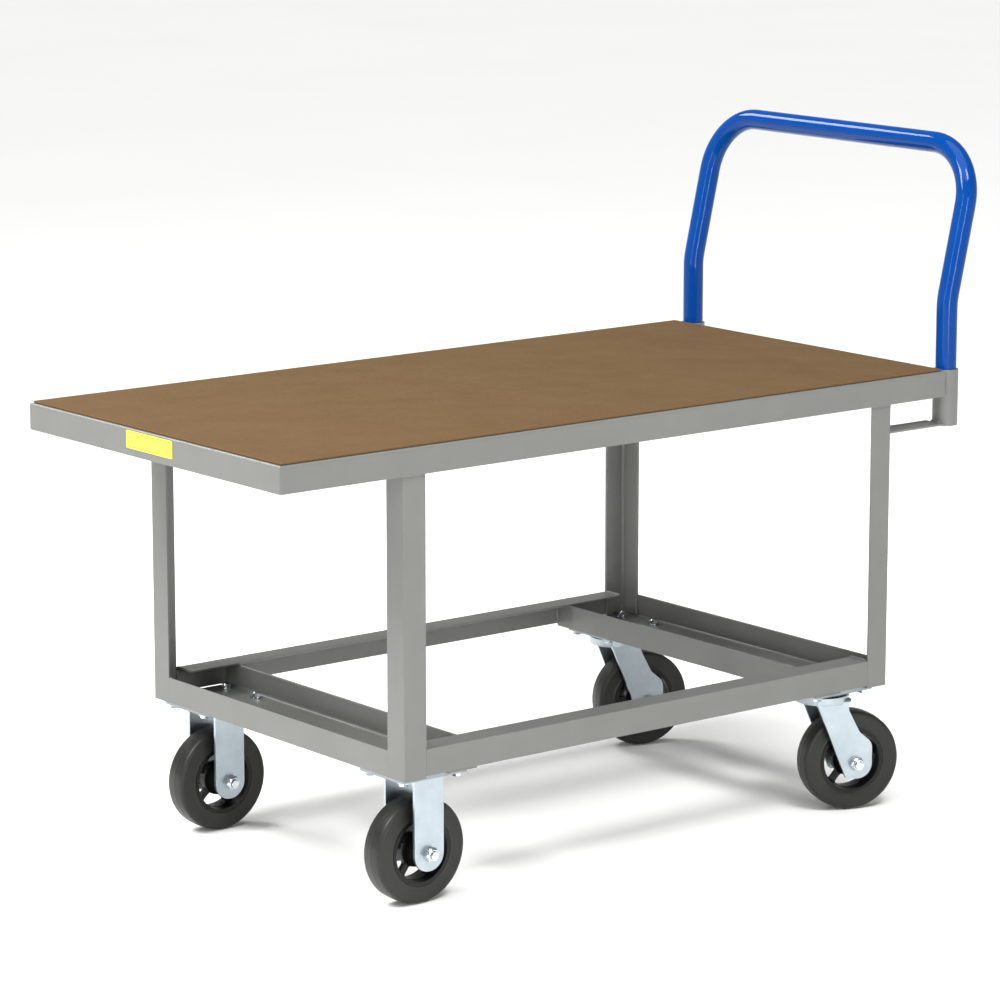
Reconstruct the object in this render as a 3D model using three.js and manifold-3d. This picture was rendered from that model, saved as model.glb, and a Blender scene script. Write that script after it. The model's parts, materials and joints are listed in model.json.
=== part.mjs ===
// A raised platform cart: a hardboard-topped steel deck on four welded angle legs, a lower caster frame,
// two rigid and two swivel casters, and a push handle that lifts out of two sockets.
// Millimetres. +X is across the cart, +Y runs towards the handle and +Z is up.
// The origin is on the floor, under the middle of the whole cart with its handle.

import * as THREE from "three";
import { mergeVertices } from "three/addons/utils/BufferGeometryUtils.js";
import Module from "manifold-3d";

const wasm = await Module();
wasm.setup();

// Clearances
const SEAT_GAP = 0.3; // between pieces that are welded, bolted, bonded or dropped together
const RUNNING_CLEARANCE = 0.05; // radial, between a shaft and what turns on it

// Angle bar that the whole frame is welded from
const ANGLE_FLANGE = 38.1;
const ANGLE_WALL = 3.2;

// Deck
const DECK_WIDTH = 620;
const DECK_LENGTH = 1219;
const DECK_HEIGHT = 660; // floor to the top of the deck steel
const HARDBOARD_THICKNESS = 3.2;
const HARDBOARD_MARGIN = 5; // steel left showing around the hardboard
const LABEL_WIDTH = 113;
const LABEL_HEIGHT = 25;
const LABEL_THICKNESS = 0.5;
const LABEL_DROP = 15; // deck top to the middle of the label

// Legs and the lower frame
const FRONT_LEG_SETBACK = 204.7; // deck's front edge to the front faces of the front legs
const REAR_LEG_SETBACK = 109.5; // deck's rear edge to the rear faces of the rear legs

// Casters
const WHEEL_RADIUS = 76.2;
const TREAD_WIDTH = 38.1;
const TREAD_SHOULDER = 3.5;
const SHOULDER_KNEE = 1.05; // the shoulder's middle corner, in from the tread and the side
const RIM_RADIUS = 49;
const RIM_WALL = 6;
const HUB_LENGTH = 57;
const HUB_BOSS_RADIUS = 19;
const HUB_WEB = 9;
const HUB_WINDOWS = 5;
const SPOKE_WIDTH = 11;
const WINDOW_BOSS_MARGIN = 2; // from the boss to a window between spokes
const WINDOW_RIM_MARGIN = 1; // and from a window to the rim
const BEARING_RADIUS = 11.1;
const AXLE_RADIUS = 6.35;
const AXLE_HEX = 11; // centre to corner of the axle's hexagons
const AXLE_HEAD_HEIGHT = 8;
const AXLE_NUT_HEIGHT = 11;
const AXLE_TIP = 3; // thread standing out of a nut
const FORK_STRAP_WIDTH = 50.8;
const FORK_WALL = 4.8;
const FORK_BEND_RADIUS = 16; // outside of the bend at each shoulder
const FORK_SIDE_PLAY = 2.7; // hub end to fork wall
const LOBE_RISE = 9.3; // swivel fork's ear: its middle above the axle
const LOBE_EXTRA = 2; // and its radius past half the strap
const TYRE_HEADROOM = 19; // tyre to the underside of the swivel fork's crown
const CASTER_TRAIL = 42; // kingpin to axle, level
const CROWN_RADIUS = 39;
const BALL_RING_HEIGHT = 4.7;
const BALL_RING_RADIUS = 36;
const RACE_CUP_HEIGHT = 6.2;
const RACE_CUP_RADIUS = 41;
const BALL_RING_WIDTH = 12; // radial
const BALL_RING_CHAMFER = 1.4;
const RACE_CUP_WIDTH = 18; // radial
const KINGPIN_RADIUS = 8;
const KINGPIN_HEX = 13.5;
const KINGPIN_NUT_HEIGHT = 8.5;
const PLATE_THICKNESS = 6.35;
const PLATE_WIDTH = 101.6;
const PLATE_LENGTH = 114.3;
const BOLT_SPACING_X = 76.2;
const BOLT_SPACING_Y = 92.1;
const BOLT_HOLE_RADIUS = 5.2;
const SLOT_TRAVEL = 9.5; // how much longer than its width each plate slot is
const CASTER_INSET = 68; // deck side to the middle of a caster plate
const FRONT_BAY_SPARE = -1.2; // caster bay's length past the bolt spacing and one flange
const REAR_BAY_SPARE = 8.8;
const SWIVEL_YAW_LEFT = -15.8; // degrees that the rear casters stand turned about their kingpins
const SWIVEL_YAW_RIGHT = -20.6;

// Push handle and its sockets
const HANDLE_RADIUS = 15.875;
const HANDLE_WALL = 2.1;
const HANDLE_CORNER_RADIUS = 88;
const HANDLE_BEND_RADIUS = 110;
const HANDLE_LEAN = 13.2; // degrees that the upper part leans back
const HANDLE_BEND_RISE = 102; // deck top to the corner where the two straights of a leg would cross
const HANDLE_RISE = 329.5; // deck top to the middle of the crossbar
const SOCKET_WALL = 2.9;
const SOCKET_DEPTH = 85;
const SOCKET_FLOOR = 3.2;
const SOCKET_DRAIN_RADIUS = 4;
const SOCKET_SIDE_INSET = 2; // deck side to the outside of the socket
const BRACE_RISE = 2.4; // socket's lower end to the underside of its brace

// Fineness of round shapes
const TYRE_SIDES = 32;
const HUB_SIDES = 20;
const TUBE_SIDES = 12;
const TUBE_BORE_SIDES = 6;
const TUBE_STEPS = 48;
const SOCKET_SIDES = 24;
const ROUND_SIDES = 12;
const DISC_SIDES = 24;

// Worked out from the driving dimensions
const halfDeckWidth = DECK_WIDTH / 2;
const halfDeckLength = DECK_LENGTH / 2;
const crownTop = 2 * WHEEL_RADIUS + TYRE_HEADROOM + FORK_WALL;
const plateBottom = crownTop + BALL_RING_HEIGHT + RACE_CUP_HEIGHT + 3 * SEAT_GAP;
const frameBottom = plateBottom + PLATE_THICKNESS + SEAT_GAP;
const legOuterX = halfDeckWidth - ANGLE_WALL - SEAT_GAP;
const legInnerX = legOuterX - ANGLE_WALL - SEAT_GAP;
const frontFaceY = FRONT_LEG_SETBACK - halfDeckLength;
const rearFaceY = halfDeckLength - REAR_LEG_SETBACK;
const frontBay = BOLT_SPACING_Y + ANGLE_FLANGE + FRONT_BAY_SPARE;
const rearBay = BOLT_SPACING_Y + ANGLE_FLANGE + REAR_BAY_SPARE;
const casterX = halfDeckWidth - CASTER_INSET;
const forkInnerHalf = HUB_LENGTH / 2 + FORK_SIDE_PLAY;
const forkOuterHalf = forkInnerHalf + FORK_WALL;
const socketRadius = HANDLE_RADIUS + SEAT_GAP + SOCKET_WALL;
const socketX = halfDeckWidth - SOCKET_SIDE_INSET - socketRadius;
const socketY = halfDeckLength + SEAT_GAP + socketRadius;
const socketBottom = DECK_HEIGHT - SOCKET_DEPTH;
const handleBottom = socketBottom + SOCKET_FLOOR + SEAT_GAP;
const leanAngle = THREE.MathUtils.degToRad(HANDLE_LEAN);
const crossbarY = socketY + (HANDLE_RISE - HANDLE_BEND_RISE) * Math.tan(leanAngle);
const frontEnd = -halfDeckLength - SEAT_GAP - LABEL_THICKNESS;
const rearEnd = crossbarY + HANDLE_RADIUS;
const middleY = (frontEnd + rearEnd) / 2;

const X = new THREE.Vector3(1, 0, 0);
const Y = new THREE.Vector3(0, 1, 0);
const Z = new THREE.Vector3(0, 0, 1);

// Finishes
function finish(color, roughness, metalness) {
  return new THREE.MeshStandardMaterial({ color, roughness, metalness });
}
const greyPaint = finish("#9fa09a", 0.5, 0.1);
const bluePaint = finish("#0b4ea6", 0.28, 0.1);
const hardboard = finish("#94765a", 0.75, 0);
const yellowVinyl = finish("#f0df3e", 0.5, 0);
const zincPlate = finish("#c6d0d6", 0.35, 0.9);
const blackIron = finish("#1b1c1a", 0.6, 0.4);
const mouldedRubber = finish("#42423e", 0.75, 0);
const bearingSteel = finish("#8d9092", 0.3, 0.95);

// A geometry as a solid that can be joined to and cut by others
function toSolid(geometry) {
  const bare = geometry.clone();
  bare.deleteAttribute("normal");
  bare.deleteAttribute("uv");
  const merged = mergeVertices(bare, 1e-4);
  const mesh = new wasm.Mesh({
    numProp: 3,
    vertProperties: new Float32Array(merged.attributes.position.array),
    triVerts: new Uint32Array(merged.index.array),
  });
  return new wasm.Manifold(mesh);
}

function toGeometry(solid) {
  const mesh = solid.getMesh();
  const geometry = new THREE.BufferGeometry();
  geometry.setAttribute("position", new THREE.BufferAttribute(mesh.vertProperties, 3));
  geometry.setIndex(new THREE.BufferAttribute(mesh.triVerts, 1));
  geometry.computeVertexNormals();
  return geometry;
}

function cut(geometry, tools) {
  return toGeometry(tools.reduce((solid, tool) => solid.subtract(toSolid(tool)), toSolid(geometry)));
}

function join(geometry, others) {
  return toGeometry(others.reduce((solid, other) => solid.add(toSolid(other)), toSolid(geometry)));
}

function overlapOf(geometry, other) {
  return toGeometry(toSolid(geometry).intersect(toSolid(other)));
}

function addPiece(parent, name, geometry, material) {
  const piece = new THREE.Mesh(geometry, material);
  piece.name = name;
  parent.add(piece);
}

function block(low, high) {
  const size = high.map((value, axis) => value - low[axis]);
  const middle = high.map((value, axis) => (value + low[axis]) / 2);
  return new THREE.BoxGeometry(...size).translate(...middle);
}

// A round bar standing on z = bottom
function uprightBar(radius, bottom, top, sides = ROUND_SIDES) {
  const bar = new THREE.CylinderGeometry(radius, radius, top - bottom, sides).rotateX(Math.PI / 2);
  return bar.translate(0, 0, (top + bottom) / 2);
}

// A round bar along X between two ends
function crossBar(radius, left, right, sides = ROUND_SIDES) {
  const bar = new THREE.CylinderGeometry(radius, radius, right - left, sides).rotateZ(Math.PI / 2);
  return bar.translate((left + right) / 2, 0, 0);
}

// Corner radius of a many-sided bore whose flats clear a shaft all round
function boreAround(shaftRadius, clearance, sides) {
  return (shaftRadius + clearance) / Math.cos(Math.PI / sides);
}

// Radius and height pairs turned about +Z into a ring or disc
function turned(profile, sides) {
  const points = profile.map(([radius, height]) => new THREE.Vector2(radius, height));
  const ring = new THREE.LatheGeometry([...points, points[0]], sides, Math.PI / sides);
  return ring.rotateX(Math.PI / 2);
}

function angleSection() {
  const section = new THREE.Shape();
  section.moveTo(0, 0);
  section.lineTo(ANGLE_FLANGE, 0);
  section.lineTo(ANGLE_FLANGE, ANGLE_WALL);
  section.lineTo(ANGLE_WALL, ANGLE_WALL);
  section.lineTo(ANGLE_WALL, ANGLE_FLANGE);
  section.lineTo(0, ANGLE_FLANGE);
  return section;
}

// An angle bar with its outside corner on the line from start along `run`, and its flanges along two directions
function angleBar(start, flangeA, flangeB, run, length, mitred = false) {
  const bar = new THREE.ExtrudeGeometry(angleSection(), { depth: length, bevelEnabled: false });
  const rightHanded = flangeA.clone().cross(flangeB).dot(run) > 0;
  if (mitred) {
    mitreEnds(bar, length, rightHanded);
  }
  const basis = new THREE.Matrix4();
  basis.makeBasis(rightHanded ? flangeA : flangeB, rightHanded ? flangeB : flangeA, run);
  return bar.applyMatrix4(basis.setPosition(...start));
}

// Slants both ends at 45 degrees across flange A, so that four bars close a picture frame
function mitreEnds(bar, length, flangeAIsFirst) {
  const points = bar.attributes.position;
  for (let i = 0; i < points.count; i += 1) {
    const inward = flangeAIsFirst ? points.getX(i) : points.getY(i);
    const along = points.getZ(i);
    points.setZ(i, along < length / 2 ? along + inward : along - inward);
  }
}

const left = { name: "left", sign: -1 };
const right = { name: "right", sign: 1 };
const front = { name: "front", sign: -1 };
const rear = { name: "rear", sign: 1 };

function inwardX(side) {
  return X.clone().multiplyScalar(-side.sign);
}

function inwardY(end) {
  return Y.clone().multiplyScalar(-end.sign);
}

function addDeck(cart) {
  const down = Z.clone().negate();
  const sideRun = DECK_LENGTH - 2 * SEAT_GAP;
  for (const side of [left, right]) {
    const start = [side.sign * halfDeckWidth, -sideRun / 2, DECK_HEIGHT];
    const apron = angleBar(start, inwardX(side), down, Y, sideRun, true);
    addPiece(cart, `deck_apron_${side.name}`, apron, greyPaint);
  }
  for (const end of [front, rear]) {
    const start = [-halfDeckWidth, end.sign * halfDeckLength, DECK_HEIGHT];
    const apron = angleBar(start, inwardY(end), down, X, DECK_WIDTH, true);
    addPiece(cart, `deck_apron_${end.name}`, apron, greyPaint);
  }
  const sheetX = halfDeckWidth - ANGLE_FLANGE - SEAT_GAP;
  const sheetY = halfDeckLength - ANGLE_FLANGE - SEAT_GAP;
  const sheetBottom = DECK_HEIGHT - ANGLE_WALL;
  const sheet = block([-sheetX, -sheetY, sheetBottom], [sheetX, sheetY, DECK_HEIGHT]);
  addPiece(cart, "deck_sheet", sheet, greyPaint);
  const boardX = halfDeckWidth - HARDBOARD_MARGIN;
  const boardY = halfDeckLength - HARDBOARD_MARGIN;
  const boardBottom = DECK_HEIGHT + SEAT_GAP;
  const board = block([-boardX, -boardY, boardBottom], [boardX, boardY, boardBottom + HARDBOARD_THICKNESS]);
  addPiece(cart, "hardboard_panel", board, hardboard);
  for (const end of [front, rear]) {
    const legFaceY = end === front ? frontFaceY : rearFaceY;
    const crossY = legFaceY - end.sign * (ANGLE_WALL + SEAT_GAP);
    const start = [-legInnerX, crossY, sheetBottom - SEAT_GAP];
    const cross = angleBar(start, inwardY(end), down, X, 2 * legInnerX);
    addPiece(cart, `deck_cross_${end.name}`, cross, greyPaint);
  }
  const labelTop = DECK_HEIGHT - LABEL_DROP + LABEL_HEIGHT / 2;
  const label = block(
    [-LABEL_WIDTH / 2, frontEnd, labelTop - LABEL_HEIGHT],
    [LABEL_WIDTH / 2, frontEnd + LABEL_THICKNESS, labelTop],
  );
  addPiece(cart, "label_plate", label, yellowVinyl);
}

function addLegs(cart) {
  const legTop = DECK_HEIGHT - ANGLE_WALL - SEAT_GAP;
  for (const end of [front, rear]) {
    for (const side of [left, right]) {
      const faceY = end === front ? frontFaceY : rearFaceY;
      const start = [side.sign * legOuterX, faceY, frameBottom];
      const leg = angleBar(start, inwardX(side), inwardY(end), Z, legTop - frameBottom);
      addPiece(cart, `leg_${end.name}_${side.name}`, leg, greyPaint);
    }
  }
}

// Where a caster plate's four bolts pass, about the plate's middle
function boltSpots() {
  const spots = [];
  for (const x of [-BOLT_SPACING_X / 2, BOLT_SPACING_X / 2]) {
    for (const y of [-BOLT_SPACING_Y / 2, BOLT_SPACING_Y / 2]) {
      spots.push([x, y]);
    }
  }
  return spots;
}

function bayMiddleY(end) {
  return end === front ? frontFaceY + frontBay / 2 : rearFaceY - rearBay / 2;
}

// Drills for the bolts of one end's two casters
function boltDrills(end) {
  const drills = [];
  for (const side of [left, right]) {
    for (const [x, y] of boltSpots()) {
      const drill = uprightBar(BOLT_HOLE_RADIUS, frameBottom - ANGLE_WALL, frameBottom + 2 * ANGLE_WALL);
      drills.push(drill.translate(side.sign * casterX + x, bayMiddleY(end) + y, 0));
    }
  }
  return drills;
}

function addLowerFrame(cart) {
  const down = Z.clone().negate();
  const railStart = frontFaceY + ANGLE_FLANGE + SEAT_GAP;
  const railEnd = rearFaceY - ANGLE_FLANGE - SEAT_GAP;
  const railTop = frameBottom + ANGLE_FLANGE + SEAT_GAP + ANGLE_WALL;
  for (const side of [left, right]) {
    const start = [side.sign * legOuterX, railStart, railTop];
    const rail = angleBar(start, inwardX(side), down, Y, railEnd - railStart);
    addPiece(cart, `side_rail_${side.name}`, rail, greyPaint);
  }
  const endRailX = legOuterX - ANGLE_FLANGE - SEAT_GAP;
  for (const end of [front, rear]) {
    const faceY = end === front ? frontFaceY : rearFaceY;
    const bay = end === front ? frontBay : rearBay;
    const drills = boltDrills(end);
    const rail = angleBar([-endRailX, faceY, frameBottom], inwardY(end), Z, X, 2 * endRailX);
    const ears = coveredEars(end, faceY, endRailX);
    addPiece(cart, `end_rail_${end.name}`, cut(join(rail, ears), drills), greyPaint);
    const crossStart = [-legInnerX, faceY - end.sign * bay, frameBottom];
    const cross = angleBar(crossStart, inwardY(end).negate(), Z, X, 2 * legInnerX);
    addPiece(cart, `caster_cross_${end.name}`, cut(cross, drills), greyPaint);
  }
}

// The end rail's bottom flange runs on inside the two legs, past the end of its upright flange
function coveredEars(end, faceY, endRailX) {
  const outerY = faceY - end.sign * (ANGLE_WALL + SEAT_GAP);
  const innerY = faceY - end.sign * ANGLE_FLANGE;
  const lowY = Math.min(outerY, innerY);
  const highY = Math.max(outerY, innerY);
  return [left, right].map((side) => {
    const endsX = [side.sign * (endRailX - ANGLE_WALL), side.sign * legInnerX];
    const low = [Math.min(...endsX), lowY, frameBottom];
    const high = [Math.max(...endsX), highY, frameBottom + ANGLE_WALL];
    return block(low, high);
  });
}

// A closed-bottom tube with a drain hole, which the handle's end drops into
function socketGeometry() {
  const bore = boreAround(HANDLE_RADIUS, SEAT_GAP, SOCKET_SIDES);
  const outside = boreAround(socketRadius, 0, SOCKET_SIDES);
  const floorTop = socketBottom + SOCKET_FLOOR;
  const profile = [
    [SOCKET_DRAIN_RADIUS, socketBottom],
    [outside, socketBottom],
    [outside, DECK_HEIGHT],
    [bore, DECK_HEIGHT],
    [bore, floorTop],
    [SOCKET_DRAIN_RADIUS, floorTop],
  ];
  return turned(profile, SOCKET_SIDES);
}

function addHandleSockets(cart) {
  const braceBottom = socketBottom + BRACE_RISE;
  const braceStart = rearFaceY + SEAT_GAP;
  const braceEnd = socketY - socketRadius - SEAT_GAP;
  for (const side of [left, right]) {
    const socket = socketGeometry().translate(side.sign * socketX, socketY, 0);
    addPiece(cart, `handle_socket_${side.name}`, socket, greyPaint);
    const endsX = [side.sign * legOuterX, side.sign * (legOuterX - ANGLE_FLANGE)];
    const low = [Math.min(...endsX), braceStart, braceBottom];
    const high = [Math.max(...endsX), braceEnd, braceBottom + ANGLE_WALL];
    addPiece(cart, `socket_brace_${side.name}`, block(low, high), greyPaint);
  }
}

// Points on a rounded corner between two straights, both ends included
function roundedCorner(before, corner, after, radius, steps) {
  const towardsBefore = before.clone().sub(corner).normalize();
  const towardsAfter = after.clone().sub(corner).normalize();
  const halfAngle = towardsBefore.angleTo(towardsAfter) / 2;
  const setback = radius / Math.tan(halfAngle);
  const bisector = towardsBefore.clone().add(towardsAfter).normalize();
  const centre = corner.clone().addScaledVector(bisector, radius / Math.sin(halfAngle));
  const first = corner.clone().addScaledVector(towardsBefore, setback).sub(centre);
  const last = corner.clone().addScaledVector(towardsAfter, setback).sub(centre);
  const axis = first.clone().cross(last).normalize();
  const sweep = first.angleTo(last);
  return Array.from({ length: steps + 1 }, (_, i) =>
    first.clone().applyAxisAngle(axis, (sweep * i) / steps).add(centre),
  );
}

// The middle line of the handle, from the foot of its left leg over the crossbar to the foot of its right leg
function handleRoute() {
  const bendZ = DECK_HEIGHT + HANDLE_BEND_RISE;
  const crossbarZ = DECK_HEIGHT + HANDLE_RISE;
  const feet = [-socketX, socketX].map((x) => new THREE.Vector3(x, socketY, handleBottom));
  const bends = [-socketX, socketX].map((x) => new THREE.Vector3(x, socketY, bendZ));
  const corners = [-socketX, socketX].map((x) => new THREE.Vector3(x, crossbarY, crossbarZ));
  const points = [
    feet[0],
    ...roundedCorner(feet[0], bends[0], corners[0], HANDLE_BEND_RADIUS, 3),
    ...roundedCorner(bends[0], corners[0], corners[1], HANDLE_CORNER_RADIUS, 9),
    ...roundedCorner(corners[0], corners[1], bends[1], HANDLE_CORNER_RADIUS, 9),
    ...roundedCorner(corners[1], bends[1], feet[1], HANDLE_BEND_RADIUS, 3),
    feet[1],
  ];
  const route = new THREE.CurvePath();
  for (let i = 1; i < points.length; i += 1) {
    route.add(new THREE.LineCurve3(points[i - 1], points[i]));
  }
  return route;
}

function circleShape(radius, sides) {
  const corners = Array.from({ length: sides }, (_, i) => {
    const angle = (2 * Math.PI * i) / sides;
    return new THREE.Vector2(radius * Math.cos(angle), radius * Math.sin(angle));
  });
  return new THREE.Shape(corners);
}

function handleGeometry() {
  const section = circleShape(HANDLE_RADIUS, TUBE_SIDES);
  section.holes.push(circleShape(HANDLE_RADIUS - HANDLE_WALL, TUBE_BORE_SIDES));
  return new THREE.ExtrudeGeometry(section, {
    steps: TUBE_STEPS,
    extrudePath: handleRoute(),
    bevelEnabled: false,
  });
}

// Caster pieces are built about a kingpin or plate middle at x = y = 0, with the wheel trailing towards +Y

function slotDrill(x, y) {
  const half = SLOT_TRAVEL / 2;
  const depth = 2 * PLATE_THICKNESS;
  const slot = new THREE.Shape();
  slot.absarc(half, 0, BOLT_HOLE_RADIUS, -Math.PI / 2, Math.PI / 2, false);
  slot.absarc(-half, 0, BOLT_HOLE_RADIUS, Math.PI / 2, (3 * Math.PI) / 2, false);
  const drill = new THREE.ExtrudeGeometry(slot, { depth, bevelEnabled: false, curveSegments: 4 });
  return drill.translate(x, y, plateBottom - PLATE_THICKNESS / 2);
}

function casterPlateGeometry(swivels) {
  const low = [-PLATE_WIDTH / 2, -PLATE_LENGTH / 2, plateBottom];
  const high = [PLATE_WIDTH / 2, PLATE_LENGTH / 2, plateBottom + PLATE_THICKNESS];
  const tools = boltSpots().map(([x, y]) => slotDrill(x, y));
  if (swivels) {
    const bore = boreAround(KINGPIN_RADIUS, SEAT_GAP, ROUND_SIDES);
    tools.push(uprightBar(bore, low[2] - PLATE_THICKNESS, high[2] + PLATE_THICKNESS));
  }
  return cut(block(low, high), tools);
}

// The fork seen from the front: an upturned U with bent shoulders
function forkSection(top) {
  const foot = WHEEL_RADIUS - FORK_STRAP_WIDTH;
  const innerBend = FORK_BEND_RADIUS - FORK_WALL;
  const innerTop = top - FORK_WALL;
  const bendX = forkOuterHalf - FORK_BEND_RADIUS;
  const bendZ = top - FORK_BEND_RADIUS;
  const section = new THREE.Shape();
  section.moveTo(forkOuterHalf, foot);
  section.lineTo(forkOuterHalf, bendZ);
  section.absarc(bendX, bendZ, FORK_BEND_RADIUS, 0, Math.PI / 2);
  section.lineTo(-bendX, top);
  section.absarc(-bendX, bendZ, FORK_BEND_RADIUS, Math.PI / 2, Math.PI);
  section.lineTo(-forkOuterHalf, foot);
  section.lineTo(-forkInnerHalf, foot);
  section.lineTo(-forkInnerHalf, innerTop - innerBend);
  section.absarc(innerBend - forkInnerHalf, innerTop - innerBend, innerBend, Math.PI, Math.PI / 2, true);
  section.lineTo(forkInnerHalf - innerBend, innerTop);
  section.absarc(forkInnerHalf - innerBend, innerTop - innerBend, innerBend, Math.PI / 2, 0, true);
  section.lineTo(forkInnerHalf, foot);
  return section;
}

// The strap seen from the side: it runs from the fork's top down to a round end about the axle
function strapOutline(top, trail) {
  const halfWidth = FORK_STRAP_WIDTH / 2;
  const rake = Math.atan2(trail, top - WHEEL_RADIUS);
  const levelHalf = halfWidth / Math.cos(rake);
  const outline = new THREE.Shape();
  outline.moveTo(-levelHalf, top);
  outline.lineTo(levelHalf, top);
  outline.absarc(trail, WHEEL_RADIUS, halfWidth, rake, rake - Math.PI, true);
  return outline;
}

// Turns a shape drawn in Y and Z into a slab that spans the fork
function acrossFork(shape, curveSegments) {
  const depth = 3 * forkOuterHalf;
  const slab = new THREE.ExtrudeGeometry(shape, { depth, bevelEnabled: false, curveSegments });
  const basis = new THREE.Matrix4().makeBasis(Y, Z, X);
  return slab.applyMatrix4(basis).translate(-depth / 2, 0, 0);
}

function alongFork(shape) {
  const depth = 4 * FORK_STRAP_WIDTH;
  const slab = new THREE.ExtrudeGeometry(shape, { depth, bevelEnabled: false, curveSegments: 4 });
  const basis = new THREE.Matrix4().makeBasis(X, Z, Y.clone().negate());
  return slab.applyMatrix4(basis).translate(0, depth / 2, 0);
}

function axleDrill(trail) {
  const bore = boreAround(AXLE_RADIUS, SEAT_GAP, ROUND_SIDES);
  return crossBar(bore, -2 * forkOuterHalf, 2 * forkOuterHalf).translate(0, trail, WHEEL_RADIUS);
}

function rigidForkGeometry() {
  const top = plateBottom - SEAT_GAP;
  const outline = acrossFork(strapOutline(top, 0), 8);
  return cut(overlapOf(alongFork(forkSection(top)), outline), [axleDrill(0)]);
}

function swivelForkGeometry() {
  const lobe = new THREE.Shape();
  lobe.absarc(CASTER_TRAIL, WHEEL_RADIUS + LOBE_RISE, FORK_STRAP_WIDTH / 2 + LOBE_EXTRA, 0, 2 * Math.PI);
  const outline = join(acrossFork(strapOutline(crownTop, CASTER_TRAIL), 8), [acrossFork(lobe, 8)]);
  const straps = overlapOf(alongFork(forkSection(crownTop)), outline);
  const crown = uprightBar(CROWN_RADIUS, crownTop - FORK_WALL, crownTop, DISC_SIDES);
  const bore = boreAround(KINGPIN_RADIUS, RUNNING_CLEARANCE, ROUND_SIDES);
  const drill = uprightBar(bore, crownTop - 2 * FORK_WALL, crownTop + FORK_WALL);
  return cut(join(straps, [crown]), [drill, axleDrill(CASTER_TRAIL)]);
}

function addSwivelHead(fixed, place) {
  const ringBottom = crownTop + SEAT_GAP;
  const ringTop = ringBottom + BALL_RING_HEIGHT;
  const ringInside = BALL_RING_RADIUS - BALL_RING_WIDTH + BALL_RING_CHAMFER;
  const ring = turned(
    [
      [ringInside, ringBottom],
      [BALL_RING_RADIUS - BALL_RING_CHAMFER, ringBottom],
      [BALL_RING_RADIUS, ringBottom + BALL_RING_CHAMFER],
      [BALL_RING_RADIUS, ringTop - BALL_RING_CHAMFER],
      [BALL_RING_RADIUS - BALL_RING_CHAMFER, ringTop],
      [ringInside, ringTop],
    ],
    DISC_SIDES,
  );
  addPiece(fixed, `ball_ring_${place}`, ring, bearingSteel);
  const cupBottom = ringTop + SEAT_GAP;
  const cupTop = cupBottom + RACE_CUP_HEIGHT;
  const cup = turned(
    [
      [RACE_CUP_RADIUS - RACE_CUP_WIDTH, cupBottom],
      [RACE_CUP_RADIUS - RACE_CUP_HEIGHT / 2, cupBottom],
      [RACE_CUP_RADIUS, cupBottom + RACE_CUP_HEIGHT / 2],
      [RACE_CUP_RADIUS, cupTop],
      [RACE_CUP_RADIUS - RACE_CUP_WIDTH, cupTop],
    ],
    DISC_SIDES,
  );
  addPiece(fixed, `race_cup_${place}`, cup, zincPlate);
  const nutTop = crownTop - FORK_WALL - SEAT_GAP;
  const nutBottom = nutTop - KINGPIN_NUT_HEIGHT;
  const nutBore = boreAround(KINGPIN_RADIUS, SEAT_GAP, ROUND_SIDES);
  const nut = cut(uprightBar(KINGPIN_HEX, nutBottom, nutTop, 6), [
    uprightBar(nutBore, nutBottom - KINGPIN_NUT_HEIGHT, nutTop + KINGPIN_NUT_HEIGHT),
  ]);
  addPiece(fixed, `kingpin_nut_${place}`, nut, zincPlate);
  const kingpin = uprightBar(KINGPIN_RADIUS, nutBottom - AXLE_TIP / 2, plateBottom + PLATE_THICKNESS);
  addPiece(fixed, `kingpin_${place}`, kingpin, zincPlate);
}

function addAxle(fork, place) {
  const faceX = forkOuterHalf + SEAT_GAP;
  const head = crossBar(AXLE_HEX, -faceX - AXLE_HEAD_HEIGHT, -faceX, 6);
  const shank = crossBar(AXLE_RADIUS, -faceX - AXLE_HEAD_HEIGHT / 2, faceX + AXLE_NUT_HEIGHT + AXLE_TIP);
  addPiece(fork, `axle_bolt_${place}`, join(head, [shank]), zincPlate);
  const nutBore = boreAround(AXLE_RADIUS, SEAT_GAP, ROUND_SIDES);
  const nut = cut(crossBar(AXLE_HEX, faceX, faceX + AXLE_NUT_HEIGHT, 6), [
    crossBar(nutBore, faceX - AXLE_NUT_HEIGHT, faceX + 2 * AXLE_NUT_HEIGHT),
  ]);
  addPiece(fork, `axle_nut_${place}`, nut, zincPlate);
}

// Radius and height pairs turned about the wheel's own axle, which lies along X; flats touch the stated radii
function turnedWheel(profile, sides) {
  const points = profile.map(([radius, height]) => new THREE.Vector2(boreAround(radius, 0, sides), height));
  const ring = new THREE.LatheGeometry([...points, points[0]], sides, Math.PI / sides);
  return ring.rotateZ(-Math.PI / 2);
}

function tyreGeometry() {
  const half = TREAD_WIDTH / 2;
  const seat = boreAround(RIM_RADIUS, SEAT_GAP, HUB_SIDES);
  const lip = TREAD_SHOULDER;
  const nearSide = [
    [seat, lip - half],
    [seat + lip, -half],
    [WHEEL_RADIUS - TREAD_SHOULDER, -half],
    [WHEEL_RADIUS - SHOULDER_KNEE, SHOULDER_KNEE - half],
    [WHEEL_RADIUS, TREAD_SHOULDER - half],
  ];
  const farSide = nearSide.map(([radius, height]) => [radius, -height]).reverse();
  return turnedWheel([...nearSide, ...farSide], TYRE_SIDES);
}

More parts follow.
